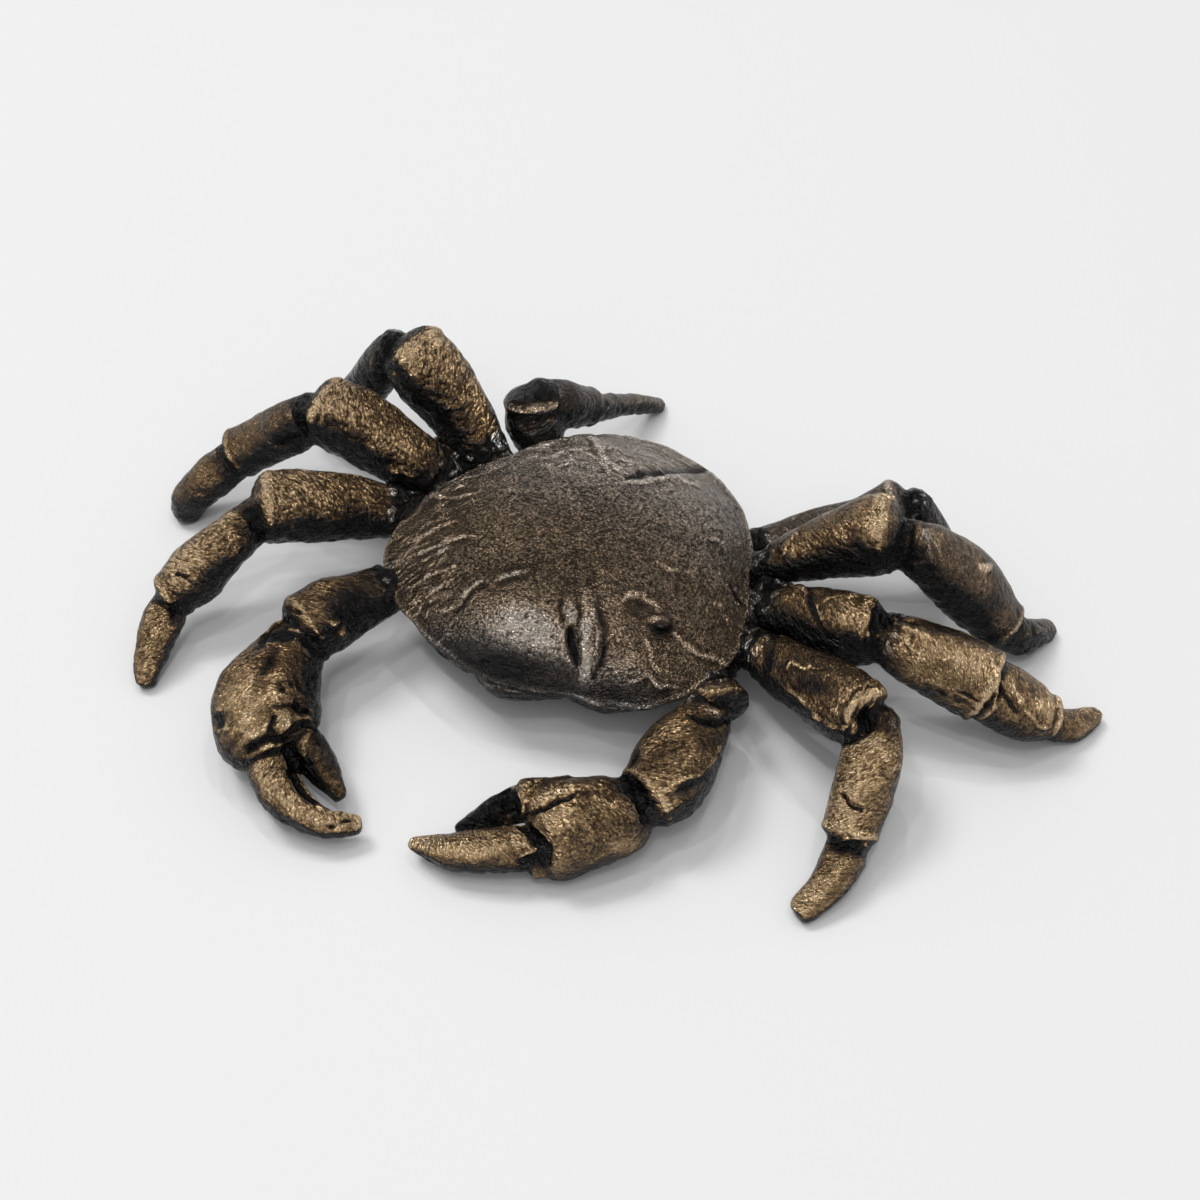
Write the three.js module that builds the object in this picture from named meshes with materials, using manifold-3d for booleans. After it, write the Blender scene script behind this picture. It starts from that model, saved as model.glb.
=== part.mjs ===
// A crab cast in bronze, standing on the tips of its legs.
// Millimetres, +Z up. The crab faces -Y, so its own left side is +X.
import * as THREE from 'three';
import { mergeVertices } from 'three/addons/utils/BufferGeometryUtils.js';
import Module from 'manifold-3d';

const wasm = await Module();
wasm.setup();

// ---------------------------------------------------------------- driving dimensions

const JOINT_GAP = 0.4; // between the body and the root of each limb
const LEG_SIDES = 8; // facets around a leg
const CLAW_SIDES = 10; // facets around a claw
const LOBE_SIDES = 7; // facets around a lobe or the smaller finger of a claw
const DETAIL_SIDES = 5; // facets around a ridge or a groove
const LUMP = 0.045; // how far a facet of the casting strays from a smooth section
const SQUARENESS = 2.3; // of a limb's section: 2 is an ellipse, more is boxier
const CAP_LENGTH = 0.55; // of a rounded end, as a share of the radius there
const CAP_RADIUS = 0.6; // of its last ring, as a share of the same radius

// Carapace, seen from above: rim radius every 15 degrees from +X, counter-clockwise.
const SHELL_CENTRE = new THREE.Vector2(-1, 5);
const RIM_RADII = [
  28.5, 27.5, 28.5, 29, 29, 28.5, 28, 27, 26, 25, 26, 28,
  29.5, 30.5, 29, 27, 25.5, 25, 24, 23.5, 26, 29, 30, 30,
];
const RIM_HEIGHT = 15.2;
const RIM_TILT = 1.2; // the rim rises this much towards the back and drops as much in front
const DOME_HEIGHT = 12; // of the crown above the rim
const DOME_FLATNESS = 2.6;
const SHELL_COLUMNS = 44;
const SHELL_ROWS = 11;

// Under the rim: [share of the rim radius, height] of each row, down to the flat belly.
const UNDERSIDE = [
  [0.985, RIM_HEIGHT - 0.9],
  [0.9, RIM_HEIGHT - 1.4],
  [0.86, RIM_HEIGHT - 3.4],
  [0.76, 9],
  [0.55, 7.8],
  [0.28, 7.6],
];

// Swellings (+) and hollows (-) of the carapace: place, length and breadth, turn in degrees, height.
const RELIEF = [
  { at: [-4, -13], size: [11, 6], turn: 8, height: 2.4 }, // large swelling above the crab's right eye
  { at: [-8, -6], size: [8, 2.6], turn: 20, height: -0.9 }, // crease behind that swelling
  { at: [14, -13], size: [9, 5], turn: -8, height: 1.1 }, // flatter swelling on the other side
  { at: [20, -5], size: [9, 2.5], turn: 8, height: 0.8 }, // thin ridge above it
  { at: [19, 1], size: [5, 4], turn: 0, height: -0.9 },
  { at: [-22, 3], size: [5, 10], turn: 12, height: -0.7 }, // sunken flank
  { at: [-13, 23], size: [8, 2.4], turn: 25, height: 1.2 }, // ridge along the back
  { at: [-3, 24], size: [6, 2.2], turn: -28, height: 1.1 },
  { at: [8, 29], size: [11, 4], turn: -5, height: -1.4 }, // smooth low lobe behind that ridge
  { at: [18, 18], size: [5, 7], turn: -30, height: 0.6 },
];

// Narrow forms on the carapace: rows of [x, y, radius], raised or sunk by lift.
const SHELL_RIDGES = [
  // the two leaves of the crest
  { points: [[2.5, -8.5, 0.8], [4, -11, 1.3], [5.5, -13.5, 0.8]], lift: -0.3 },
  { points: [[5.5, -10, 0.8], [8, -13.5, 1.9], [8.5, -17, 0.8]], lift: -0.5 },
  // along the back
  {
    points: [[-18, 20.5, 0.6], [-13, 22.5, 1], [-8, 25, 1.1], [-4.5, 24.5, 1], [0, 21.5, 0.6]],
    lift: -0.2,
  },
  // along the flank
  { points: [[-27.5, -3.5, 0.6], [-26, 0.5, 0.9], [-23, 5.5, 0.9], [-19, 9, 0.5]], lift: -0.3 },
];
const SHELL_GROOVES = [
  // behind the large swelling, between the leaves, and in front of the low lobe at the back
  { points: [[-13.5, -13, 0.5], [-12, -10.5, 0.9], [-8, -8.5, 0.9], [-3.5, -7, 0.5]], lift: 0.2 },
  { points: [[4.5, -9, 0.4], [6, -12, 0.8], [7, -16.5, 0.4]], lift: 0.7 },
  { points: [[2.5, 21, 0.5], [6, 23, 1], [9.5, 26, 1], [12.5, 28.5, 0.5]], lift: 0.2 },
];
const EYE_LUMP = { at: [17, -6], size: [1.3, 1.1, 1] };
const DIMPLE = { at: [12.5, -5.5], size: [2.2, 2, 1.6], lift: 1 };

// Under the front rim: the cheek and the mouthparts.
const MOUTHPARTS = [
  [[-20.5, -10.5, 12, 1.6], [-15.5, -13, 11.6, 2.1], [-10.5, -15.5, 11.8, 1.8]],
  [[-8.5, -16.2, 12.2, 1.8], [-4, -17.5, 11.8, 2.2], [4.5, -15.5, 12, 1.6]],
  [[6, -15, 11.8, 1.7], [11, -15, 11.6, 2], [17, -13, 12.2, 1.6]],
];

// The abdomen folded forward under the body, and the plates on both sides of it.
const FLAP = [
  [-1, 27, 11.5, 5.5], [-1, 20, 8, 5.5], [-0.5, 12, 7.4, 4.5],
  [0, 4, 7.2, 3], [0.5, -3, 7.2, 1.6],
];
const FLAP_THICKNESS = 0.35; // as a share of its breadth
const PLATE_ROWS = [-6, 2, 10];
const PLATE = { offset: 10.5, height: 8, size: [5.5, 3.2, 1.6], turn: 12 };

// Each limb is a chain of segments from the hip outwards, and each segment a row of [x, y, z, radius]
// sections. The thick far end of one segment overhangs the slimmer start of the next.
const LIMBS = {
  leg_right_1: [
    { sections: [[-25, 8.5, 11.5, 2.8], [-31.5, 7, 13.5, 3.8]] },
    {
      sections: [
        [-32.5, 7, 13.8, 4], [-39, 4, 16, 5],
        [-45.5, 0, 18, 5.7], [-50, -2.5, 18.8, 5.5],
      ],
    },
    { sections: [[-51, -4, 18, 3.4], [-54, -9, 16, 3.9], [-58, -13.5, 12, 4.6], [-61, -17, 9, 3.9]] },
    {
      sections: [
        [-61, -17.5, 8, 3], [-61.5, -22, 6.2, 3.2],
        [-61.5, -27, 3, 2.4], [-61, -29.5, 1.2, 1.7],
      ],
    },
  ],
  leg_right_2: [
    { sections: [[-20, 13.5, 11.5, 2.6], [-27, 15.2, 14, 3.3]] },
    {
      sections: [
        [-27.5, 15, 15, 3.8], [-33, 15.2, 17.5, 4.9],
        [-42, 16.5, 20.5, 5.8], [-48.5, 17, 22, 5.4],
      ],
    },
    { sections: [[-50, 16.5, 20.5, 3.9], [-54, 14.5, 18, 4.3], [-58.5, 13, 14.5, 4], [-62, 11.5, 12, 4]] },
    { sections: [[-63, 10.5, 10.5, 3.3], [-66, 7.5, 8, 3.5], [-68.5, 5.5, 5, 3.1], [-70, 5, 1.5, 2.6]] },
  ],
  leg_right_3: [
    { sections: [[-16, 17.4, 11.5, 2.6], [-23, 23.2, 13.8, 3.7]] },
    { sections: [[-24, 23.4, 14.4, 4.2], [-30, 26.5, 20.3, 5.2], [-35, 28, 25, 6], [-38, 29.5, 27, 5.4]] },
    { sections: [[-41, 30.5, 25.5, 3.5], [-44.5, 29.5, 20, 3.7], [-50, 28, 9.5, 3.5]] },
    { sections: [[-50.5, 27.5, 8.5, 2.9], [-52.5, 27.5, 4, 2.2], [-54, 28, 0.8, 1.7]] },
  ],
  leg_right_4: [
    { sections: [[-9.5, 19.5, 11.5, 2.8], [-14.5, 25.5, 13, 3.3]] },
    { sections: [[-15, 27.5, 13.5, 3.4], [-17, 30, 17, 4.9], [-18, 31.5, 20.5, 4.9]] },
    { sections: [[-17.5, 31.5, 21, 3.6], [-14, 34, 18.5, 3.9], [-11, 38.5, 14.5, 3.1]] },
    { sections: [[-10.5, 39, 13.5, 2.4], [-8.5, 45, 9, 1.9], [-5.5, 51, 4, 1.5], [-4, 54.5, 0.7, 1.3]] },
  ],
  leg_left_1: [
    { sections: [[24.5, 3, 11.5, 2.6], [31.5, 0.5, 13.5, 3.3]] },
    { sections: [[32, 0, 14, 3.5], [36, -2.5, 15.5, 4.4], [47, -8, 18.5, 5.5], [50, -8.5, 18.5, 5]] },
    { sections: [[52, -8.5, 18, 3.8], [53, -13, 14, 4.7], [53, -17.5, 10, 4.8], [53, -22, 7, 4.3]] },
    {
      sections: [
        [53.5, -22, 6.5, 3.4], [53, -27, 4.6, 3.2],
        [51.5, -31.5, 2.8, 2.7], [49.5, -34.5, 1.6, 2.2],
      ],
    },
  ],
  leg_left_2: [
    { sections: [[22, 9.5, 11.5, 2.6], [30, 8.5, 13.8, 3.3]] },
    {
      sections: [
        [30.5, 8, 14.8, 3.6], [36.5, 7, 16.8, 4.7],
        [42.5, 5.8, 18.2, 5.8], [46.5, 6, 19.2, 5.1],
      ],
    },
    {
      sections: [
        [48.5, 6, 19, 3.8], [53, 6, 17.5, 4.8],
        [60, 7, 14.5, 5.7], [65, 7, 12.5, 5.8],
      ],
      round: 0.2,
    },
    { sections: [[65.5, 7, 12, 4.8], [69, 7.5, 10, 5], [73, 8, 7.5, 4.5], [75.5, 9, 6.2, 3.3]] },
    { sections: [[75, 9, 4.8, 2.7], [79, 11.5, 2.4, 2.6], [82, 15.5, 1.3, 1.5]] },
  ],
  leg_left_3: [
    { sections: [[19, 15, 11.5, 2.5], [27, 16.5, 14, 3]] },
    { sections: [[27.5, 16.5, 15, 3], [32, 17.5, 18, 4], [42, 20, 24, 6], [44.5, 20.5, 25, 5.8]] },
    { sections: [[47.5, 20.5, 24, 3.8], [52.5, 22, 20.5, 4.9], [58, 23, 15, 5.4], [64, 22.5, 8.5, 4.3]] },
    { sections: [[64.5, 22.5, 7.4, 3.1], [67.5, 24, 5, 2.9], [70.5, 29.5, 1.1, 1.8]] },
  ],
  leg_left_4: [
    { sections: [[17.5, 20, 9.5, 2.5], [23.5, 23, 10.5, 2.8]] },
    { sections: [[24, 23, 10.5, 2.7], [32, 26.5, 14, 3.2], [38.5, 28, 17.5, 3.4], [43.5, 31, 20.5, 3.6]] },
    { sections: [[45.5, 32, 19.5, 3.1], [48.5, 32.5, 14.5, 3.3], [51, 33, 9, 3.1]] },
    { sections: [[52, 33.5, 7, 2.4], [54, 34, 3.5, 1.9], [55.5, 34.5, 0.8, 1.5]] },
  ],
  claw_right: [
    { sections: [[-20.5, -1.5, 11, 3], [-24, -4, 11.8, 3.8], [-27, -6, 12.6, 3.8]] },
    {
      sections: [
        [-28, -7, 13, 3.9], [-31.5, -11.5, 13, 4.6],
        [-34.5, -15, 13, 5.6], [-37, -18.5, 12.6, 5.4],
      ],
    },
    {
      sections: [
        [-37.5, -21, 12, 4.8], [-38, -25.5, 11, 6.3], [-38, -31, 10, 8.3],
        [-37, -35.5, 9, 8], [-35, -37.5, 8.6, 7],
      ],
      tall: 0.9,
      keel: 0.1,
    },
    {
      sections: [
        [-34, -39, 7.8, 3.6], [-32.5, -42.5, 7, 3.7], [-28.5, -45.5, 6, 3.3],
        [-22.5, -46.5, 4.6, 2.3], [-18, -44.5, 4, 1.6],
      ],
    },
    {
      sections: [[-31.5, -35.5, 8.8, 3], [-26.5, -38.5, 7.4, 2.8], [-22, -41.5, 5.4, 1.4]],
      sides: LOBE_SIDES,
    },
  ],
  claw_left: [
    {
      sections: [
        [21, -3, 11, 2.6], [24.5, -5.5, 11.8, 3],
        [26.5, -8, 12, 3.9], [28.3, -10.5, 12, 4.9],
      ],
      round: 0.2,
    },
    {
      sections: [
        [27, -12, 12, 3.7], [26.5, -16, 11.8, 5.1], [25.5, -21, 11.4, 6.3],
        [24.5, -25.5, 10.5, 6.2], [23, -28.5, 10, 5.2],
      ],
      keel: 0.08,
    },
    {
      sections: [
        [22, -29.5, 9.4, 4.4], [19.5, -32, 8.6, 6], [14, -35.5, 7.6, 7.1],
        [11, -37.3, 6.5, 7.3], [10, -38, 6.3, 6.9],
      ],
      keel: 0.08,
      round: 0.35,
    },
    { sections: [[10.2, -40.6, 6.8, 3.2], [4, -42.8, 6, 3.3], [-2, -44.5, 5, 2.9], [-9, -44.5, 3.5, 1.1]] },
    { sections: [[6, -33.5, 7.4, 3], [3, -35.5, 6.6, 2.6], [-3, -40.5, 4.3, 1.2]], sides: LOBE_SIDES },
    // lobes of the palm, over the back finger's root and under the front finger's
    { sections: [[12, -32.5, 9.5, 3.6], [5, -35, 9.3, 3]], round: 0.3, sides: LOBE_SIDES },
    { sections: [[16.5, -37.2, 5.6, 3.5], [9.4, -42, 4.9, 2.8]], round: 0.4, sides: LOBE_SIDES },
  ],
};

// Cuts in the limbs: hollows under a knee or beside a joint, and the groove along a claw's palm.
const HOLLOWS = {
  leg_left_1: [{ at: [49.5, -12.5, 18.5], size: [2.8, 2.4, 2.6], turn: 20 }],
  leg_right_2: [{ at: [-63.5, 8, 14.5], size: [1.6, 1.2, 1.2], turn: 40 }],
  claw_right: [{ at: [-45.5, -38.5, 11], size: [2, 2.4, 2.4], turn: 20 }],
};
const CLAW_GROOVE = [[6, -41.5, 14, 0.6], [10, -38, 14.8, 0.9], [14, -33.5, 14.6, 0.5]];

// ---------------------------------------------------------------- solids

function toSolid(geometry) {
  geometry.deleteAttribute('normal');
  geometry.deleteAttribute('uv');
  const merged = mergeVertices(geometry, 1e-4);
  const vertProperties = new Float32Array(merged.attributes.position.array);
  const triVerts = new Uint32Array(merged.index.array);
  return new wasm.Manifold(new wasm.Mesh({ numProp: 3, vertProperties, triVerts }));
}

function toMesh(name, solid, material) {
  const { vertProperties, triVerts } = solid.getMesh();
  const geometry = new THREE.BufferGeometry();
  geometry.setAttribute('position', new THREE.BufferAttribute(vertProperties, 3));
  geometry.setIndex(new THREE.BufferAttribute(triVerts, 1));
  geometry.computeVertexNormals();
  const mesh = new THREE.Mesh(geometry, material);
  mesh.name = name;
  return mesh;
}

function moveVertices(geometry, place) {
  const position = geometry.attributes.position;
  const point = new THREE.Vector3();
  for (let i = 0; i < position.count; i += 1) {
    point.fromBufferAttribute(position, i);
    place(point, i);
    position.setXYZ(i, point.x, point.y, point.z);
  }
}

// The planes of a bar's sections, square to the way it runs, with a rounded cap at each end.
function barRings(sections, round) {
  const [startX, startY] = sections[0];
  const [endX, endY] = sections[sections.length - 1];
  const across = new THREE.Vector3(startY - endY, endX - startX, 0).normalize();
  const centres = sections.map(([x, y, z]) => new THREE.Vector3(x, y, z));
  const rings = centres.map((centre, i) => {
    const before = centres[Math.max(i - 1, 0)];
    const after = centres[Math.min(i + 1, centres.length - 1)];
    const ahead = after.clone().sub(before).normalize();
    const side = across.clone().addScaledVector(ahead, -across.dot(ahead)).normalize();
    return { centre, ahead, side, over: ahead.clone().cross(side), radius: sections[i][3] };
  });
  const cap = (ring, direction) => ({
    ...ring,
    centre: ring.centre.clone().addScaledVector(ring.ahead, direction * round * ring.radius),
    radius: CAP_RADIUS * ring.radius,
  });
  return [cap(rings[0], -1), ...rings, cap(rings[rings.length - 1], 1)];
}

// A bar through a row of [x, y, z, radius] sections: a cylinder's grid laid along them.
// wide and tall stretch its sections, keel sharpens its upper edge, and lump roughens it.
function bar(sections, options = {}) {
  const { sides = LEG_SIDES, wide = 1, tall = 1, keel = 0, lump = LUMP, round = CAP_LENGTH } = options;
  const rings = barRings(sections, round);
  const geometry = new THREE.CylinderGeometry(1, 1, 1, sides, rings.length - 1);
  moveVertices(geometry, (point) => {
    const row = Math.round((0.5 - point.y) * (rings.length - 1));
    const ring = rings[row];
    const angle = Math.atan2(point.x, point.z);
    const sin = Math.sin(angle);
    const cos = Math.cos(angle);
    const boxy = (Math.abs(sin) ** SQUARENESS + Math.abs(cos) ** SQUARENESS) ** (-1 / SQUARENESS);
    const ripple = 1 + lump * Math.sin(2.3 * row + 3 * angle) * Math.cos(1.9 * row - 2 * angle);
    const crown = 1 + keel * Math.max(0, cos) ** 4;
    const radius = Math.hypot(point.x, point.z) * ring.radius * boxy * ripple;
    point.copy(ring.centre);
    point.addScaledVector(ring.side, sin * radius * wide);
    point.addScaledVector(ring.over, cos * radius * tall * crown);
  });
  return toSolid(geometry);
}

function ball({ at, size, turn = 0 }) {
  const geometry = new THREE.SphereGeometry(1, 8, 6);
  geometry.scale(...size);
  geometry.rotateZ(THREE.MathUtils.degToRad(turn));
  geometry.translate(...at);
  return toSolid(geometry);
}

const join = (solids) => solids.reduce((sum, solid) => sum.add(solid));

// ---------------------------------------------------------------- body

function rimRadius(angle) {
  const count = RIM_RADII.length;
  const place = ((angle / (2 * Math.PI)) * count + count) % count;
  const before = Math.floor(place);
  const blend = (1 - Math.cos((place - before) * Math.PI)) / 2;
  return THREE.MathUtils.lerp(RIM_RADII[before % count], RIM_RADII[(before + 1) % count], blend);
}

function reliefHeight(x, y) {
  return RELIEF.reduce((sum, { at, size, turn, height }) => {
    const place = new THREE.Vector2(x - at[0], y - at[1]);
    place.rotateAround(new THREE.Vector2(), THREE.MathUtils.degToRad(-turn));
    return sum + height * Math.exp(-((place.x / size[0]) ** 2) - (place.y / size[1]) ** 2);
  }, 0);
}

// Height of the carapace over a point of the ground plan. The relief fades out at the rim.
function shellHeight(x, y) {
  const angle = Math.atan2(y - SHELL_CENTRE.y, x - SHELL_CENTRE.x);
  const share = Math.min(1, Math.hypot(x - SHELL_CENTRE.x, y - SHELL_CENTRE.y) / rimRadius(angle));
  const rim = RIM_HEIGHT + RIM_TILT * share * Math.sin(angle);
  return rim + DOME_HEIGHT * (1 - share ** DOME_FLATNESS) + (1 - share ** 8) * reliefHeight(x, y);
}

// The carapace and the belly: a globe's grid pulled onto the shell above and the underside below.
// swell moves the whole surface outwards.
function shell(swell = 0) {
  const rows = SHELL_ROWS + UNDERSIDE.length + 1;
  const geometry = new THREE.SphereGeometry(1, SHELL_COLUMNS, rows);
  const uv = geometry.attributes.uv;
  moveVertices(geometry, (point, i) => {
    const row = Math.round((1 - uv.getY(i)) * rows);
    const angle = Math.atan2(-point.z, point.x);
    const above = row <= SHELL_ROWS;
    const under = UNDERSIDE[Math.min(Math.max(row - SHELL_ROWS, 1), UNDERSIDE.length) - 1];
    let share = above ? row / SHELL_ROWS : under[0];
    if (row === rows) {
      share = 0;
    }
    const x = SHELL_CENTRE.x + share * rimRadius(angle) * Math.cos(angle);
    const y = SHELL_CENTRE.y + share * rimRadius(angle) * Math.sin(angle);
    const z = above ? shellHeight(x, y) : under[1] + RIM_TILT * share * Math.sin(angle);
    point.set(x, y, z);
  });
  geometry.deleteAttribute('normal');
  geometry.deleteAttribute('uv');
  const merged = mergeVertices(geometry, 1e-4);
  merged.computeVertexNormals();
  const normal = new THREE.Vector3();
  moveVertices(merged, (point, i) => {
    normal.fromBufferAttribute(merged.attributes.normal, i);
    point.addScaledVector(normal, swell);
  });
  return toSolid(merged);
}

// A thin bar that follows the carapace.
function onShell({ points, lift }) {
  const sections = points.map(([x, y, radius]) => [x, y, shellHeight(x, y) + lift, radius]);
  return bar(sections, { sides: DETAIL_SIDES, lump: 0 });
}

function ballOnShell({ at: [x, y], size, lift = 0 }) {
  return ball({ at: [x, y, shellHeight(x, y) + lift], size });
}

function makeBody() {
  const mouthparts = MOUTHPARTS.map((sections) => bar(sections, { sides: DETAIL_SIDES }));
  const flap = bar(FLAP, { tall: FLAP_THICKNESS, lump: 0 });
  const plates = [-1, 1].flatMap((side) => PLATE_ROWS.map((y) => ball({
    at: [SHELL_CENTRE.x + side * PLATE.offset, y, PLATE.height],
    size: PLATE.size,
    turn: -side * PLATE.turn,
  })));
  const ridges = SHELL_RIDGES.map(onShell);
  const raised = [shell(), ...ridges, ballOnShell(EYE_LUMP), ...mouthparts, flap, ...plates];
  const sunk = [ballOnShell(DIMPLE), ...SHELL_GROOVES.map(onShell)];
  return join(raised).subtract(join(sunk));
}

// ---------------------------------------------------------------- limbs

function makeLimb(name, segments, swollenBody) {
  const sides = name.startsWith('claw') ? CLAW_SIDES : LEG_SIDES;
  const ground = new THREE.BoxGeometry(300, 300, 20);
  ground.translate(0, 0, -10);
  const cuts = [swollenBody, toSolid(ground), ...(HOLLOWS[name] ?? []).map(ball)];
  if (name === 'claw_left') {
    cuts.push(bar(CLAW_GROOVE, { sides: DETAIL_SIDES, lump: 0 }));
  }
  const whole = join(segments.map(({ sections, ...options }) => bar(sections, { sides, ...options })));
  return cuts.reduce((limb, cut) => limb.subtract(cut), whole);
}

// ---------------------------------------------------------------- assembly

const DARK_BRONZE = { color: 0x4b3b2a, roughness: 0.45, metalness: 0.85 };
const RUBBED_BRONZE = { color: 0x8a6a42, roughness: 0.38, metalness: 0.9 };

const figure = new THREE.Group();
figure.add(toMesh('body', makeBody(), new THREE.MeshStandardMaterial(DARK_BRONZE)));
const swollenBody = shell(JOINT_GAP);
for (const [name, segments] of Object.entries(LIMBS)) {
  const limb = makeLimb(name, segments, swollenBody);
  figure.add(toMesh(name, limb, new THREE.MeshStandardMaterial(RUBBED_BRONZE)));
}

// The origin is on the ground, under the middle of the figure.
const box = new THREE.Box3().setFromObject(figure);
figure.position.set(-(box.min.x + box.max.x) / 2, -(box.min.y + box.max.y) / 2, -box.min.z);

const group = new THREE.Group();
group.add(figure);

export default group;
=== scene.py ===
import itertools
import math

import bpy
import numpy as np
from mathutils import Matrix, Vector


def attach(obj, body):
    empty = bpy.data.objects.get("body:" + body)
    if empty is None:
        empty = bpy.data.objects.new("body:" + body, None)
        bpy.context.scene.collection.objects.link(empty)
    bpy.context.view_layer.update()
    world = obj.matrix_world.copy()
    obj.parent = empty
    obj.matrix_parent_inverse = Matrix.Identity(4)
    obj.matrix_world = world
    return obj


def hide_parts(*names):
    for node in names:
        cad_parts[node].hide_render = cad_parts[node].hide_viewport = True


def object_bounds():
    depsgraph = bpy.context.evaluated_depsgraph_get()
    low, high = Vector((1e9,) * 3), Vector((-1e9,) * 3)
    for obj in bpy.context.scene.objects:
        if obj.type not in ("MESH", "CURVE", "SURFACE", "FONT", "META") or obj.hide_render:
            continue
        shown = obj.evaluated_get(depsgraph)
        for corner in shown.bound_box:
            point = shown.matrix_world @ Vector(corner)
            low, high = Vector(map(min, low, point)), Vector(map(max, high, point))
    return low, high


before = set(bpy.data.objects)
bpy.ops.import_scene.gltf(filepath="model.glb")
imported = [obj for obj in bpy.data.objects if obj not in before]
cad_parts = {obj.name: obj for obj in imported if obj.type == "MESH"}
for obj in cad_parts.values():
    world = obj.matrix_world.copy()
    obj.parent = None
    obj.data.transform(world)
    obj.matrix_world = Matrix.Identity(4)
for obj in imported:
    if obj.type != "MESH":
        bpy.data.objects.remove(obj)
cad_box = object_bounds()

# The crab's own coordinates are millimetres, +Z up, facing -Y, with the middle of the shell near (-1, 5).
# OFFSET moves them into the part's frame.
MM = 0.001
OFFSET = np.array([-5.389, -3.374, 0.0])
LIMIT_LOW = np.array(cad_box[0]) / MM - OFFSET
LIMIT_HIGH = np.array(cad_box[1]) / MM - OFFSET

# The camera looks down on the crab's front, and its picture is 1200 by 1200 points.
AZIMUTH = math.radians(20)
ELEVATION = math.radians(52)
DISTANCE = 0.439
TARGET = (np.array([5.41, -1.28, 17.61]) + OFFSET) * MM
BACK = np.array([math.sin(AZIMUTH) * math.cos(ELEVATION), -math.cos(AZIMUTH) * math.cos(ELEVATION),
                 math.sin(ELEVATION)])
RIGHT = np.array([math.cos(AZIMUTH), math.sin(AZIMUTH), 0.0])
AWAY = np.array([-math.sin(AZIMUTH), math.cos(AZIMUTH), 0.0])
UP = np.cross(BACK, RIGHT)
LENS, SENSOR, PICTURE = 85.0, 36.0, 1200

# ------------------------------ shapes, as in the CAD model

SQUARENESS = 2.3  # of a bar's section: 2 is round
CAP_LENGTH = 0.55  # of a bar's domed end, as a share of its radius
SHELL_CENTRE = np.array([-1.0, 5.0])
# every 15 degrees from +X, counter-clockwise
RIM_RADII = np.array([
    28.5, 27.5, 28.5, 29, 29, 28.5, 28, 27, 26, 25, 26, 28,
    29.5, 30.5, 29, 27, 25.5, 25, 24, 23.5, 26, 29, 30, 30,
])
RIM_HEIGHT = 15.2
RIM_TILT = 1.2
DOME_HEIGHT = 12.0
DOME_FLATNESS = 2.6
# share of the rim's radius, height
UNDERSIDE = [
    (0.985, RIM_HEIGHT - 0.9), (0.9, RIM_HEIGHT - 1.4), (0.86, RIM_HEIGHT - 3.4),
    (0.76, 9.0), (0.55, 7.8), (0.28, 7.6), (0.0, 7.6),
]
# swellings and hollows of the dome: place, length and breadth, turn in degrees, height
RELIEF = [
    ((-4, -13), (11, 6), 8, 2.4), ((-8, -6), (8, 2.6), 20, -0.9), ((14, -13), (9, 5), -8, 1.1),
    ((20, -5), (9, 2.5), 8, 0.8), ((19, 1), (5, 4), 0, -0.9), ((-22, 3), (5, 10), 12, -0.7),
    ((-13, 23), (8, 2.4), 25, 1.2), ((-3, 24), (6, 2.2), -28, 1.1), ((8, 29), (11, 4), -5, -1.4),
    ((18, 18), (5, 7), -30, 0.6),
]
# bars under the front rim and under the belly: [x, y, z, radius] sections
MOUTHPARTS = [
    [[-20.5, -10.5, 12, 1.6], [-15.5, -13, 11.6, 2.1], [-10.5, -15.5, 11.8, 1.8]],
    [[-8.5, -16.2, 12.2, 1.8], [-4, -17.5, 11.8, 2.2], [4.5, -15.5, 12, 1.6]],
    [[6, -15, 11.8, 1.7], [11, -15, 11.6, 2], [17, -13, 12.2, 1.6]],
]
FLAP = [[-1, 27, 11.5, 5.5], [-1, 20, 8, 5.5], [-0.5, 12, 7.4, 4.5], [0, 4, 7.2, 3], [0.5, -3, 7.2, 1.6]]
FLAP_THICKNESS = 0.35
PLATE_ROWS = [-6, 2, 10]
PLATE_OFFSET, PLATE_HEIGHT, PLATE_TURN = 10.5, 8.0, 12.0
PLATE_SIZE = (5.5, 3.2, 1.6)

# Each limb is a chain of segments: its [x, y, z, radius] sections, then how golden it is at its start
# and end, how strong its crinkled grain is, and its options. Of these, tall, keel and cap are those of a
# bar, reach says how far down its sides the gold comes, as it fades in between two upward parts of the
# normal, rubbed on top and darkened by painted shade below, seam says how black the joint at its start
# is, and grey says how grey its metal is.
LIMBS = {}
LIMBS["leg_right_1"] = [
    ([[-25, 8.5, 11.5, 2.8], [-31.5, 7, 13.5, 3.8]], 0.0, 0.1, 0.3, {}),
    ([[-32.5, 7, 13.8, 4], [-39, 4, 16, 5], [-45.5, 0, 18, 5.7], [-50, -2.5, 18.8, 5.5]],
     0.5, 0.78, 1, {"reach": (0.1, 0.8)}),
    ([[-51, -4, 18, 3.4], [-54, -9, 16, 3.9], [-58, -13.5, 12, 4.6], [-61, -17, 9, 3.9]],
     0.56, 0.74, 0.8, {"reach": (0, 0.6), "seam": 0.7}),
    ([[-61, -17.5, 8, 3], [-61.5, -22, 6.2, 3.2], [-61.5, -27, 3, 2.4], [-61, -29.5, 1.2, 1.7]],
     0.52, 0.58, 0.6, {"reach": (-0.1, 0.5), "seam": 0.6}),
]
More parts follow.
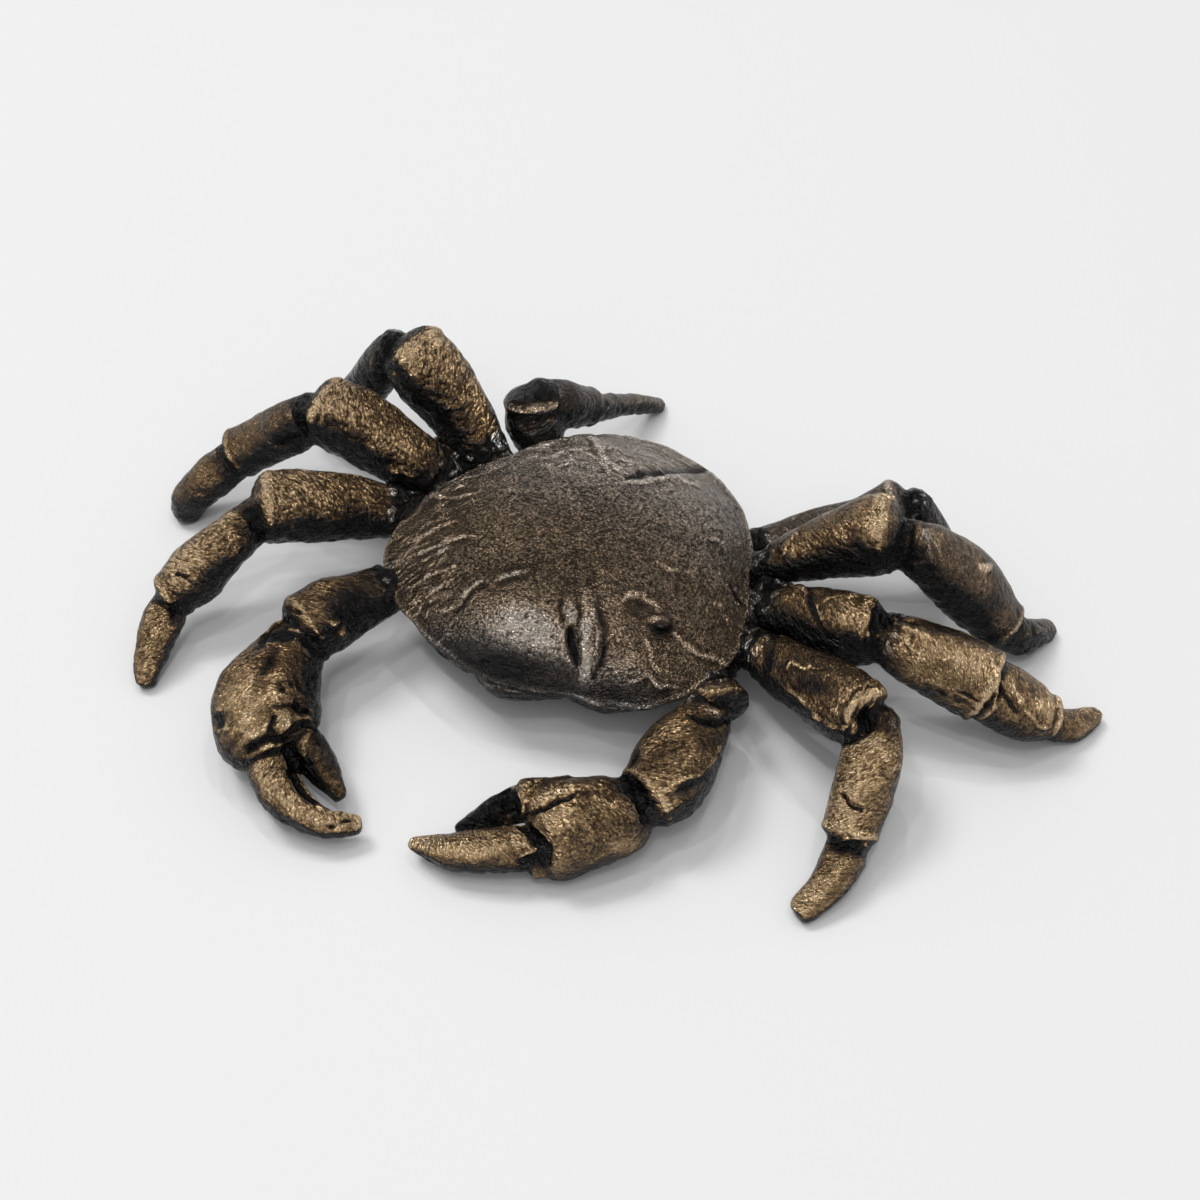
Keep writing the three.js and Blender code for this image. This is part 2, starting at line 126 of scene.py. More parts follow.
LIMBS["leg_right_2"] = [
    ([[-20, 13.5, 11.5, 2.6], [-27, 15.2, 14, 3.3]], 0.0, 0.1, 0.3, {}),
    ([[-27.5, 15, 15, 3.8], [-33, 15.2, 17.5, 4.9], [-42, 16.5, 20.5, 5.8], [-48.5, 17, 22, 5.4]],
     0.5, 0.68, 1, {"reach": (0.25, 0.8)}),
    ([[-50, 16.5, 20.5, 3.9], [-54, 14.5, 18, 4.3], [-58.5, 13, 14.5, 4], [-62, 11.5, 12, 4]],
     0.46, 0.5, 0.2, {"reach": (0, 0.6)}),
    ([[-63, 10.5, 10.5, 3.3], [-66, 7.5, 8, 3.5], [-68.5, 5.5, 5, 3.1], [-70, 5, 1.5, 2.6]],
     0.44, 0.48, 0.3, {"reach": (0, 0.6), "seam": 0.6}),
]
LIMBS["leg_right_3"] = [
    ([[-16, 17.4, 11.5, 2.6], [-23, 23.2, 13.8, 3.7]], 0.0, 0.2, 0.5, {}),
    ([[-24, 23.4, 14.4, 4.2], [-30, 26.5, 20.3, 5.2], [-35, 28, 25, 6], [-38, 29.5, 27, 5.4]],
     0.64, 0.78, 1, {"reach": (0.2, 0.7)}),
    ([[-41, 30.5, 25.5, 3.5], [-44.5, 29.5, 20, 3.7], [-50, 28, 9.5, 3.5]], 0.34, 0.36, 0.2, {"grey": 0.4}),
    ([[-50.5, 27.5, 8.5, 2.9], [-52.5, 27.5, 4, 2.2], [-54, 28, 0.8, 1.7]], 0.34, 0.36, 0.2, {"grey": 0.5}),
]
LIMBS["leg_right_4"] = [
    ([[-9.5, 19.5, 11.5, 2.8], [-14.5, 25.5, 13, 3.3]], 0.0, 0.15, 0.2, {}),
    ([[-15, 27.5, 13.5, 3.4], [-17, 30, 17, 4.9], [-18, 31.5, 20.5, 4.9]], 0.4, 0.42, 0.35, {"grey": 0.35}),
    ([[-17.5, 31.5, 21, 3.6], [-14, 34, 18.5, 3.9], [-11, 38.5, 14.5, 3.1]], 0.34, 0.38, 0.3, {"grey": 0.4}),
    ([[-10.5, 39, 13.5, 2.4], [-8.5, 45, 9, 1.9], [-5.5, 51, 4, 1.5], [-4, 54.5, 0.7, 1.3]],
     0.38, 0.42, 0.3, {"grey": 0.4}),
]
LIMBS["leg_left_1"] = [
    ([[24.5, 3, 11.5, 2.6], [31.5, 0.5, 13.5, 3.3]], 0.0, 0.15, 0.5, {}),
    ([[32, 0, 14, 3.5], [36, -2.5, 15.5, 4.4], [47, -8, 18.5, 5.5], [50, -8.5, 18.5, 5]],
     0.4, 0.52, 0.7, {"reach": (0, 0.6)}),
    ([[52, -8.5, 18, 3.8], [53, -13, 14, 4.7], [53, -17.5, 10, 4.8], [53, -22, 7, 4.3]],
     0.7, 0.76, 0.6, {"reach": (-0.3, 0.4), "seam": 0.5}),
    ([[53.5, -22, 6.5, 3.4], [53, -27, 4.6, 3.2], [51.5, -31.5, 2.8, 2.7], [49.5, -34.5, 1.6, 2.2]],
     0.45, 0.64, 0.5, {"reach": (-0.3, 0.4)}),
]
LIMBS["leg_left_2"] = [
    ([[22, 9.5, 11.5, 2.6], [30, 8.5, 13.8, 3.3]], 0.0, 0.1, 0.3, {}),
    ([[30.5, 8, 14.8, 3.6], [36.5, 7, 16.8, 4.7], [42.5, 5.8, 18.2, 5.8], [46.5, 6, 19.2, 5.1]],
     0.36, 0.58, 0.5, {"reach": (0.35, 0.8)}),
    ([[48.5, 6, 19, 3.8], [53, 6, 17.5, 4.8], [60, 7, 14.5, 5.7], [65, 7, 12.5, 5.8]],
     0.58, 0.74, 0.3, {"cap": 0.25, "reach": (-0.5, 0.3), "seam": 0.6}),
    ([[65.5, 7, 12, 4.8], [69, 7.5, 10, 5], [73, 8, 7.5, 4.5], [75.5, 9, 6.2, 3.3]],
     0.6, 0.7, 0.5, {"reach": (-0.5, 0.3), "seam": 0.15}),
    ([[75, 9, 4.8, 2.7], [79, 11.5, 2.4, 2.6], [82, 15.5, 1.3, 1.5]],
     0.55, 0.6, 0.4, {"reach": (-0.5, 0.3), "seam": 0.25}),
]
LIMBS["leg_left_3"] = [
    ([[19, 15, 11.5, 2.5], [27, 16.5, 14, 3]], 0.0, 0.1, 0.3, {}),
    ([[27.5, 16.5, 15, 3], [32, 17.5, 18, 4], [42, 20, 24, 6], [44.5, 20.5, 25, 5.8]],
     0.46, 0.68, 0.4, {"reach": (0.2, 0.75)}),
    ([[47.5, 20.5, 24, 3.8], [52.5, 22, 20.5, 4.9], [58, 23, 15, 5.4], [64, 22.5, 8.5, 4.3]],
     0.66, 0.5, 0.3, {"reach": (-0.1, 0.6), "grey": 0.25, "seam": 0.5}),
    ([[64.5, 22.5, 7.4, 3.1], [67.5, 24, 5, 2.9], [70.5, 29.5, 1.1, 1.8]],
     0.42, 0.42, 0.2, {"grey": 0.45, "seam": 0.4}),
]
LIMBS["leg_left_4"] = [
    ([[17.5, 20, 9.5, 2.5], [23.5, 23, 10.5, 2.8]], 0.0, 0.1, 0.2, {}),
    ([[24, 23, 10.5, 2.7], [32, 26.5, 14, 3.2], [38.5, 28, 17.5, 3.4], [43.5, 31, 20.5, 3.6]],
     0.38, 0.42, 0.3, {"grey": 0.45}),
    ([[45.5, 32, 19.5, 3.1], [48.5, 32.5, 14.5, 3.3], [51, 33, 9, 3.1]], 0.4, 0.4, 0.3, {"grey": 0.5}),
    ([[52, 33.5, 7, 2.4], [54, 34, 3.5, 1.9], [55.5, 34.5, 0.8, 1.5]], 0.4, 0.4, 0.2, {"grey": 0.5}),
]
LIMBS["claw_right"] = [
    ([[-20.5, -1.5, 11, 3], [-24, -4, 11.8, 3.8], [-27, -6, 12.6, 3.8]], 0.0, 0.05, 0.4, {}),
    ([[-28, -7, 13, 3.9], [-31.5, -11.5, 13, 4.6], [-34.5, -15, 13, 5.6], [-37, -18.5, 12.6, 5.4]],
     0.26, 0.6, 0.5, {"reach": (0.2, 0.8)}),
    ([[-37.5, -21, 12, 4.8], [-38, -25.5, 11, 6.3], [-38, -31, 10, 8.3], [-37, -35.5, 9, 8],
      [-35, -37.5, 8.6, 7]],
     0.52, 0.62, 0.4, {"tall": 0.9, "keel": 0.1, "reach": (-0.1, 0.6), "seam": 0.3}),
    ([[-34, -39, 7.8, 3.6], [-32.5, -42.5, 7, 3.7], [-28.5, -45.5, 6, 3.3], [-22.5, -46.5, 4.6, 2.3],
      [-18, -44.5, 4, 1.6]], 0.56, 0.7, 0.6, {"reach": (-0.1, 0.6), "seam": 0.6}),
    ([[-31.5, -35.5, 8.8, 3], [-26.5, -38.5, 7.4, 2.8], [-22, -41.5, 5.4, 1.4]],
     0.15, 0.4, 0.5, {"reach": (0.2, 0.8)}),
]
LIMBS["claw_left"] = [
    ([[21, -3, 11, 2.6], [24.5, -5.5, 11.8, 3], [26.5, -8, 12, 3.9], [28.3, -10.5, 12, 4.9]],
     0, 0.5, 0.3, {"cap": 0.2}),
    ([[27, -12, 12, 3.7], [26.5, -16, 11.8, 5.1], [25.5, -21, 11.4, 6.3], [24.5, -25.5, 10.5, 6.2],
      [23, -28.5, 10, 5.2]], 0.4, 0.66, 0.6, {"keel": 0.08, "reach": (-0.1, 0.6)}),
    ([[22, -29.5, 9.4, 4.4], [19.5, -32, 8.6, 6], [14, -35.5, 7.6, 7.1], [11, -37.3, 6.5, 7.3],
      [10, -38, 6.3, 6.9]],
     0.56, 0.64, 0.6, {"keel": 0.08, "cap": 0.35, "reach": (-0.5, 0.2), "seam": 0.3}),
    ([[10.2, -40.6, 6.8, 3.2], [4, -42.8, 6, 3.3], [-2, -44.5, 5, 2.9], [-9, -44.5, 3.5, 1.1]],
     0.58, 0.68, 0.3, {"reach": (-0.3, 0.6), "seam": 0.2}),
    ([[6, -33.5, 7.4, 3], [3, -35.5, 6.6, 2.6], [-3, -40.5, 4.3, 1.2]], 0.0, 0.0, 0.1, {}),
    ([[12, -32.5, 9.5, 3.6], [5, -35, 9.3, 3]], 0.52, 0.6, 0.6, {"cap": 0.3, "seam": 0}),
    ([[16.5, -37.2, 5.6, 3.5], [9.4, -42, 4.9, 2.8]], 0.52, 0.52, 0.6,
     {"cap": 0.4, "reach": (-0.5, 0.2), "seam": 0}),
]

# ------------------------------ lumps, drawn forms and patches

# Lumps of metal that fill the forks between neighbouring hips: place, size, turn in degrees.
LUMPS = {}
LUMPS["leg_right_2"] = [
    ((-28.5, 11.2, 13), (3.2, 3, 2.4), 0), ((-33.5, 11, 12.8), (3.5, 2, 2.4), 0),
    ((-25.3, 19.3, 13.2), (3, 3, 2.4), 30), ((-29.5, 20, 14.5), (3.5, 2, 2.5), 20),
]
LUMPS["leg_right_3"] = [
    ((-15.5, 22.5, 12), (3.5, 3, 2.5), 40), ((-21, 19.5, 15), (2.2, 1.8, 1.6), 30),
    ((-30.5, 22.6, 13), (3.6, 2.5, 2.6), 35), ((-25, 21, 13.5), (3, 2, 2.2), 35),
]
LUMPS["leg_right_1"] = [((-27, 5.5, 12), (2.4, 2, 2.2), 0), ((-29.5, 9.5, 15.5), (1.8, 1.5, 1.4), 0)]
LUMPS["leg_left_2"] = [
    ((28.5, 4.8, 12.5), (3.2, 2.6, 2.4), -20), ((33.5, 3.5, 12.5), (3.5, 2.2, 2.2), -20),
    ((39, 1.5, 13), (4, 1.5, 2), -20), ((29.5, 12.5, 13.5), (3.5, 2.5, 2.4), 0),
    ((34, 12.5, 14.5), (3, 1.5, 2), 10),
]
LUMPS["leg_left_3"] = [((22, 19.5, 11.5), (3, 2.5, 2), 20)]
LUMPS["leg_left_1"] = [((26, -1.5, 11.5), (2.5, 3, 2.2), 0)]
LUMPS["claw_right"] = [((-24.5, -1.5, 13.5), (2.2, 1.8, 1.8), -30), ((-27.5, -4, 15.2), (1.8, 1.6, 1.4), -30)]
LUMPS["claw_left"] = [((25, -6.5, 14), (1.8, 2.2, 1.6), 0)]

# Forms drawn where the camera sees them: a line through the picture's points x, y, x, y, ... from its upper
# left, then half width and height in millimetres, then how much more golden (+) or darker (-) the line is,
# where that isn't left to the height.
DRAWN = {}
DRAWN["body"] = [
    # the crease behind the swelling, a groove darkened with painted shadow, and the ridged light edges along
    # it, painted as highlights
    ([459, 604, 465, 594, 473, 585, 483, 581], 0.35, 0.5, 0.5),
    ([491, 589, 498, 580, 510, 576, 526, 571], 0.35, 0.5, 0.5),
    ([456, 613, 460, 607, 469, 597, 478, 589, 487, 586], 0.4, -0.35, -0.2),
    ([489, 592, 501, 585, 514, 581, 530, 575], 0.35, -0.2, -0.1),
    # the slit between the crest's two leaves, and the grooves and the edge beside them
    ([571, 625, 570, 640, 573, 654, 576, 667], 0.5, -1.2, -0.9),
    ([576, 600, 579, 613, 577, 627], 0.3, -0.4, -0.4), ([562, 598, 562, 614, 567, 632], 0.4, -0.4),
    ([598, 610, 604, 632, 603, 652, 592, 682], 0.35, -0.4, -0.3),
    ([592, 606, 597, 632, 596, 650, 587, 674], 0.25, 0.3, 0.4),
    # the rim of the dimple, and light edges and cracks on the crab's left
    ([622, 603, 629, 597, 643, 597, 653, 603, 660, 612], 0.4, 0.45),
    ([671, 633, 680, 640, 691, 650, 700, 657], 0.3, 0.3, 0.45),
    ([690, 652, 708, 658, 730, 665, 746, 657], 0.3, 0.3, 0.45),
    ([644, 640, 650, 650, 653, 666, 660, 672], 0.35, 0.3, 0.4),
    ([629, 681, 638, 681, 648, 677, 654, 684, 658, 688, 667, 687, 679, 688], 0.3, 0.4, 0.5),
    ([686, 690, 693, 686, 704, 679, 714, 671], 0.35, 0.25),
    ([657, 561, 669, 568, 683, 571, 694, 578], 0.3, 0.3, 0.4),
    ([703, 540, 715, 538, 726, 550], 0.3, 0.3, 0.4), ([730, 584, 737, 598, 745, 609], 0.35, -0.4),
    ([708, 602, 722, 609, 731, 630], 0.3, 0.25),
    # the groove and the wrinkles along the back
    ([624, 480, 638, 474, 661, 472, 684, 470, 712, 468], 0.5, -0.6, -0.5),
    ([621, 483, 643, 481, 666, 477, 684, 480, 700, 486], 0.35, 0.35),
    ([586, 434, 595, 443, 604, 459, 618, 472, 625, 480], 0.4, 0.45),
    ([589, 454, 602, 465, 615, 476], 0.35, 0.3),
    ([509, 460, 521, 451, 537, 450, 553, 442, 570, 435, 584, 434], 0.35, 0.4, 0.2),
    ([521, 464, 535, 458, 547, 459, 563, 452, 579, 450, 590, 455], 0.3, 0.25, 0.15),
    ([540, 465, 553, 468, 567, 462, 581, 463, 595, 470], 0.3, 0.25, 0.15),
    # striations of the right flank
    ([428, 500, 441, 498, 455, 497, 475, 495], 0.22, 0.3),
    ([420, 505, 436, 498, 455, 489, 469, 486], 0.22, 0.3),
    ([407, 544, 420, 539, 439, 529, 455, 521], 0.22, 0.3),
    ([409, 558, 430, 550, 448, 542, 464, 537, 478, 537], 0.25, 0.35, 0.35),
    ([420, 562, 439, 554, 455, 546], 0.25, 0.35, 0.35),
    ([402, 591, 420, 581, 439, 572, 455, 567], 0.22, 0.3), ([410, 605, 432, 593, 452, 582], 0.22, 0.28),
    ([421, 615, 443, 610, 456, 606], 0.35, 0.35, 0.4),
    # the edge of the front rim
    ([482, 684, 510, 690, 543, 695, 575, 695, 590, 702, 612, 708, 645, 710], 0.3, 0.3, 0.15),
]
DRAWN["leg_right_1"] = [
    # the lip of the knee and the black crease beside it
    ([247, 508, 253, 517, 256, 529, 257, 540], 0.7, -0.6, -0.8),
    ([250, 510, 258, 521, 267, 536, 275, 549], 0.3, 0.2, 0.25),
    # a notch in the shin, and a fold under the end of the thigh
    ([175, 573, 183, 576, 191, 584], 0.35, -0.5), ([295, 532, 286, 539, 278, 549], 0.5, -0.3),
    # the hollow of the ankle
    ([171, 602, 174, 614, 171, 626], 0.7, -0.4),
]
DRAWN["leg_right_2"] = [
    # the lip of the knee, and black creases beside and below it
    ([300, 404, 305, 414, 311, 427, 314, 435], 0.3, 0.35), ([298, 414, 302, 425, 307, 436], 0.5, -0.6, -0.8),
    ([273, 442, 289, 443, 305, 437], 0.6, -0.6, -0.7),
    # the lower edge of the thigh, beside the hip
    ([381, 475, 387, 471, 406, 475, 420, 482], 0.35, 0.35),
]
DRAWN["leg_right_3"] = [
    # the light edge beside the knee, the hollow on one side of it and a ledge on the other
    ([401, 330, 388, 341, 381, 353, 385, 369, 398, 386, 410, 396], 0.3, 0.35, 0.5),
    ([395, 337, 387, 349, 389, 365, 400, 382], 0.7, -0.4), ([373, 351, 371, 367, 375, 382], 0.4, 0.2),
]
DRAWN["claw_right"] = [
    # the creases of the wrist, the edges beside them and a groove above them
    ([257, 644, 264, 636, 276, 632, 288, 633, 297, 635], 1.0, -1.1, -1.0),
    ([265, 631, 276, 627, 290, 629, 306, 633], 0.35, 0.35, 0.4),
    ([301, 636, 313, 646, 324, 657], 0.8, -0.6, -0.9), ([304, 637, 315, 640, 323, 649], 0.25, 0.4, 0.5),
    ([315, 632, 324, 642, 327, 653], 0.3, 0.4, 0.3), ([328, 622, 337, 627, 344, 638], 0.4, 0.5),
    ([285, 609, 300, 613, 313, 616], 0.3, -0.3),
    # grooves and edges of the palm
    ([277, 646, 266, 665, 257, 688], 0.9, -0.35), ([275, 714, 271, 726, 275, 735], 0.5, -0.7),
    ([281, 693, 287, 686, 294, 684], 0.4, -0.5), ([292, 672, 299, 688, 307, 695], 0.4, -0.25),
    ([296, 697, 299, 713, 307, 718], 0.5, -0.4), ([281, 735, 292, 722, 305, 718, 316, 725], 0.45, 0.55, 0.3),
    ([284, 738, 296, 729, 307, 726, 315, 731], 0.35, -0.4),
    ([218, 708, 222, 718, 224, 727, 217, 730], 0.3, 0.3, 0.4), ([215, 713, 218, 720, 218, 728], 0.7, -0.6),
    # the knuckle of the outer finger, the gap between the fingers and the finger's inner edge
    ([245, 753, 257, 747, 267, 742, 276, 741, 290, 738], 0.55, -0.8),
    ([255, 755, 265, 748, 276, 745], 0.35, 0.4, 0.4),
    ([286, 743, 291, 757, 297, 772, 307, 790, 316, 800], 1.2, -1.0, -1.0),
    ([315, 801, 322, 810, 338, 814, 363, 813], 0.3, 0.3),
]
DRAWN["claw_left"] = [
    # the crease between wrist and palm, and the groove that runs on from it
    ([623, 773, 632, 786, 640, 799, 644, 812, 647, 827], 0.9, -1.1, -1.0),
    ([621, 769, 629, 765, 638, 749], 0.6, -0.4),
    # the edge of the plate at the root, and the groove under it
    ([702, 707, 722, 713, 743, 715], 0.45, 0.4, 0.6), ([690, 715, 714, 722, 735, 719], 0.6, -0.7),
    # the long groove of the palm, and the edges and the dark end of its upper lobe
    ([527, 815, 543, 808, 556, 802, 566, 798, 576, 794], 0.5, -0.8),
    ([548, 796, 560, 792, 575, 789], 0.5, 0.3, 0.4),
    ([508, 785, 518, 794, 522, 803, 522, 814], 0.4, 0.5, 0.5),
    ([499, 789, 506, 801, 518, 817], 1.6, -0.6, -0.9),
    # the gap before the front finger, the hollow at its lower end and the edges beside them
    ([520, 827, 531, 834, 538, 843, 544, 852, 546, 864], 0.6, -1.3, -1.0),
    ([519, 823, 531, 826, 543, 837, 547, 847], 0.35, 0.4, 0.5),
    ([519, 868, 528, 861, 537, 856, 544, 862], 0.9, -0.8), ([519, 858, 531, 853, 538, 847], 0.3, 0.35, 0.5),
    ([519, 873, 531, 879, 547, 879], 0.35, 0.3),
    # the golden edges of the wrist, a groove beside them and a dip in the palm
    ([648, 789, 647, 804, 653, 819, 664, 819], 0.35, 0.2, 0.2),
    ([726, 738, 706, 768, 673, 784, 644, 798], 0.35, 0.3, 0.2), ([731, 752, 708, 777, 676, 793], 0.5, -0.4),
    ([577, 797, 597, 792, 614, 801], 0.6, -0.2),
]
DRAWN["leg_left_1"] = [
    # ridges of the thigh and of its root, and the groove between them
    ([786, 670, 793, 664, 806, 670, 810, 666, 827, 671], 0.25, 0.35, 0.35),
    ([824, 672, 836, 679, 850, 681, 862, 679], 0.35, 0.2),
    ([784, 689, 792, 693, 801, 699, 811, 708, 818, 718, 832, 726, 845, 730], 0.35, 0.45, 0.5),
    ([754, 655, 762, 642, 771, 636], 0.5, 0.5, 0.5), ([771, 644, 768, 659, 765, 673], 0.7, -0.5),
    # the golden cap over the hollow of the knee, and the groove beside it
    ([849, 723, 850, 709, 856, 700, 867, 697, 879, 694, 887, 696, 891, 702], 0.7, 0.8, 0.5),
    ([871, 687, 854, 696, 846, 708, 845, 725], 0.6, -0.4),
    # cracks and edges of the shin and the ankle, and an edge along the upper side of the thigh
    ([840, 793, 846, 802, 854, 807, 863, 812], 0.25, -0.6),
    ([825, 836, 832, 842, 844, 840, 855, 839, 871, 848], 0.35, 0.45, 0.4),
    ([830, 845, 846, 848, 862, 852, 872, 855], 1.0, -0.5, -0.7), ([820, 642, 830, 653, 842, 662], 0.4, 0.4),
]
DRAWN["leg_left_2"] = [
    # edges of the thigh, and a groove across its upper side
    ([815, 598, 817, 609, 821, 621], 0.3, 0.35, 0.4), ([809, 592, 813, 607, 817, 621], 0.6, -0.6),
    ([823, 603, 832, 598, 848, 596, 869, 597, 887, 603], 0.35, 0.3),
    ([774, 595, 784, 586, 797, 589, 809, 594], 0.3, 0.35),
    # the lip of the knee, the black streak beside it and the edges beyond
    ([869, 609, 866, 625, 869, 641], 0.25, 0.4, 0.6), ([877, 607, 878, 621, 871, 631], 0.7, -0.8, -0.9),
    ([873, 640, 882, 634, 893, 635, 906, 641, 912, 651], 0.35, 0.45, 0.5),
    ([878, 629, 889, 621, 898, 618], 0.25, 0.35, 0.5),
    # streaks of the shin
    ([904, 624, 926, 626, 949, 629, 972, 638, 989, 648], 0.9, -0.3),
    ([898, 627, 918, 632, 930, 637], 0.35, 0.3), ([923, 687, 941, 695, 960, 702, 978, 711], 0.3, -0.3),
    ([957, 690, 972, 699, 987, 707], 0.3, -0.3),
    # the flare of the ankle, the black beyond it, and the edges and grooves of the last joints
    ([992, 662, 996, 673, 996, 686, 994, 698, 993, 709], 0.3, 0.7, 0.6),
    ([1001, 670, 999, 682, 997, 698], 0.5, -0.5), ([999, 682, 1007, 698, 1018, 714], 0.5, -0.4),
    ([1002, 679, 1013, 691, 1023, 705], 0.4, 0.3, 0.4),
    ([1025, 709, 1033, 721, 1047, 727, 1054, 718, 1057, 705], 0.3, 0.3, 0.4),
    ([972, 721, 986, 714, 994, 710], 0.35, 0.3), ([1058, 707, 1054, 719, 1047, 730], 0.4, -0.4),
]
DRAWN["leg_left_3"] = [
    # the edges of the knee, the black crease beside them and an edge at the root of the thigh
    ([875, 494, 892, 497, 905, 504, 911, 510], 0.25, 0.25, 0.5),
    ([913, 520, 909, 536, 911, 552, 903, 568], 0.8, -0.8, -0.9),
    ([910, 524, 906, 538, 907, 556], 0.3, 0.3, 0.4), ([782, 557, 790, 540, 799, 531], 0.25, 0.3, 0.4),
    # the ankle's edge, and the crease of the tip
    ([989, 645, 999, 645, 1010, 641, 1017, 632], 0.25, 0.3, 0.4),
    ([1028, 617, 1035, 629, 1037, 640, 1032, 650], 0.45, -0.5),
]

# Golden and dark patches in the same picture, of rubbed and dark patina and, where marked below, painted
# highlights and painted shade: place, length and breadth in its points, turn in degrees to the left, height
# in millimetres, more golden (+) or darker (-).
PATCHES = {}
PATCHES["body"] = [
    ((570, 615), (5, 14), 5, 0.6, 0.35), ((586, 642), (8, 30), -2, 1.3, 0.5),
    # the patch at (530, 627) is a painted silvery highlight on the swelling, and the one at (503, 668)
    # painted shade on its steep front
    ((530, 627), (42, 21), -20, 0.5, 0.47), ((503, 668), (54, 18), -12, -0.5, -0.48),
    ((638, 609), (14, 11), 0, -0.55, -0.18), ((662, 627), (8, 9), 0, 0.3, -0.8),
    # the spot at (656, 620) is a painted glint on the knob
    ((656, 620), (5, 3), 30, 0.3, 0.9), ((620, 668), (25, 12), 20, 0.2, 0.12),
    ((632, 695), (46, 11), -3, 0, -0.22), ((570, 690), (30, 7), -3, 0, -0.2),
]
PATCHES["leg_right_1"] = [
    ((247, 529), (9, 15), 35, 0, -0.45), ((214, 571), (22, 8), 45, 0, -0.3),
    ((256, 498), (10, 10), 0, 0, 0.2),
]
PATCHES["leg_right_2"] = [
    ((289, 427), (12, 9), 20, -0.2, -0.4), ((321, 392), (16, 9), -20, 0, 0.2),
    ((385, 435), (31, 9), -38, 0, 0.15),
]
PATCHES["leg_right_3"] = [
    # a painted highlight on the knee
    ((410, 337), (12, 12), 0, 0, 0.2),
]
PATCHES["claw_right"] = [
    ((315, 688), (11, 34), 0, 0, -0.9), ((346, 605), (22, 16), 20, -0.15, -0.6),
    ((283, 718), (7, 11), -10, 0.6, 0.3), ((274, 693), (7, 7), 0, 0.3, 0.35),
    ((248, 718), (6, 6), 0, 0.25, 0.25), ((253, 736), (15, 6), -25, 0.25, 0.25),
    ((267, 726), (4, 9), -30, 0.2, 0.15), ((342, 634), (8, 6), 0, 0.5, 0.1),
    ((296, 805), (25, 7), -35, 0, 0.15), ((332, 827), (4, 3), 0, -0.25, -0.5),
    ((346, 822), (6, 2), 15, -0.2, -0.5), ((322, 773), (8, 6), -45, 0, 0.25),
    ((307, 785), (10, 21), 25, 0, -0.5),
]
PATCHES["claw_left"] = [
    ((507, 803), (11, 14), 0, 0, -0.7), ((532, 864), (13, 8), 0, -0.4, -0.6),
    # the patch at (616, 847) is a painted highlight along the palm's lower edge
    ((616, 847), (22, 6), 25, 0, 0.2), ((662, 812), (13, 8), 35, 0, 0.25),
    ((649, 767), (24, 17), 30, 0, -0.2), ((621, 786), (13, 9), -20, 0, -0.3),
    ((531, 801), (7, 11), 0, 0, 0.15),
]
PATCHES["leg_left_1"] = [
    ((811, 684), (21, 9), -22, -0.25, -0.4), ((871, 697), (21, 8), 8, 0.1, 0.35),
    ((866, 720), (9, 10), 0, -1.9, -1.0), ((889, 726), (6, 14), 0, 0, -0.25),
]
PATCHES["leg_left_2"] = [
    ((793, 595), (18, 9), -15, 0.2, 0.1), ((856, 616), (18, 10), -20, 0.2, 0.2),
    # the dark patch at (816, 641) is painted shade on the side of the thigh, and the one at (953, 655) a
    # painted highlight on the shin
    ((816, 641), (44, 17), -28, 0, -0.7), ((887, 621), (14, 8), 20, 0, -0.5),
    ((887, 662), (16, 10), -20, 0, -0.25), ((953, 655), (32, 9), -28, 0, 0.22),
    ((999, 727), (31, 8), -20, 0, -0.15), ((1042, 707), (13, 11), -30, 0.15, 0.2),
]
PATCHES["leg_left_3"] = [
    # the patch at (889, 517) is a painted highlight on the knee
    ((889, 517), (17, 14), 0, 0, 0.2), ((924, 561), (25, 14), -45, 0, -0.3),
    ((987, 568), (5, 5), 0, 0.6, 0.2), ((960, 609), (23, 14), -50, 0, -0.35),
]

# How golden the shell is: [x, y] place, length and breadth, turn in degrees, more (+) or less (-).
SHELL_TONES = [
    ((-21, 2), (9, 15), 15, 0.03), ((24, 18), (6, 10), 30, -0.08), ((13, -11), (12, 6), 10, 0.05),
]

# ------------------------------ noise

# Large odd numbers that scatter a cell's place over all the bits of a number, and the bits that are kept.
MIXERS, SEED_MIXER = (374761393, 668265263, 1103515245), 974634777
STIRS = (1274126177, 2246822519)
WORD, LOW_BITS, HALF_OF_LOW_BITS = 0xFFFFFFFF, 0xFFFFFF, 0x7FFFFF
SEED_SHIFT = 17.31
CORNERS = [np.array(corner) for corner in itertools.product((0, 1), repeat=3)]
NEIGHBOURS = [np.array(cell) for cell in itertools.product((-1, 0, 1), repeat=3)]
SCATTER = 0.42  # how far a cell's point lies from its middle along each axis, at most
LAYER_TURN = np.array(Matrix.Rotation(0.9, 3, Vector((1, 2, 3)).normalized()))


def lattice(cell, seed):
    """A fixed random number from -1 to 1 for each whole-numbered cell."""
    cell = cell.astype(np.int64)
    h = sum(cell[..., axis] * mixer for axis, mixer in enumerate(MIXERS)) + seed * SEED_MIXER
    h &= WORD
    h = ((h ^ (h >> 13)) * STIRS[0]) & WORD
    h = ((h ^ (h >> 16)) * STIRS[1]) & WORD
    h ^= h >> 15
    return (h & LOW_BITS) / float(HALF_OF_LOW_BITS) - 1.0


def noise(points, size, seed):
    """Smooth noise from -1 to 1 whose features are about size across."""
    place = points / size + seed * SEED_SHIFT
    low = np.floor(place)
    part = place - low
    part = part * part * part * (part * (part * 6 - 15) + 10)
    total = np.zeros(len(points))
    for corner in CORNERS:
        weight = np.ones(len(points))
        for axis, far in enumerate(corner):
            weight *= part[:, axis] if far else 1 - part[:, axis]
        total += weight * lattice(low + corner, seed)
    return total


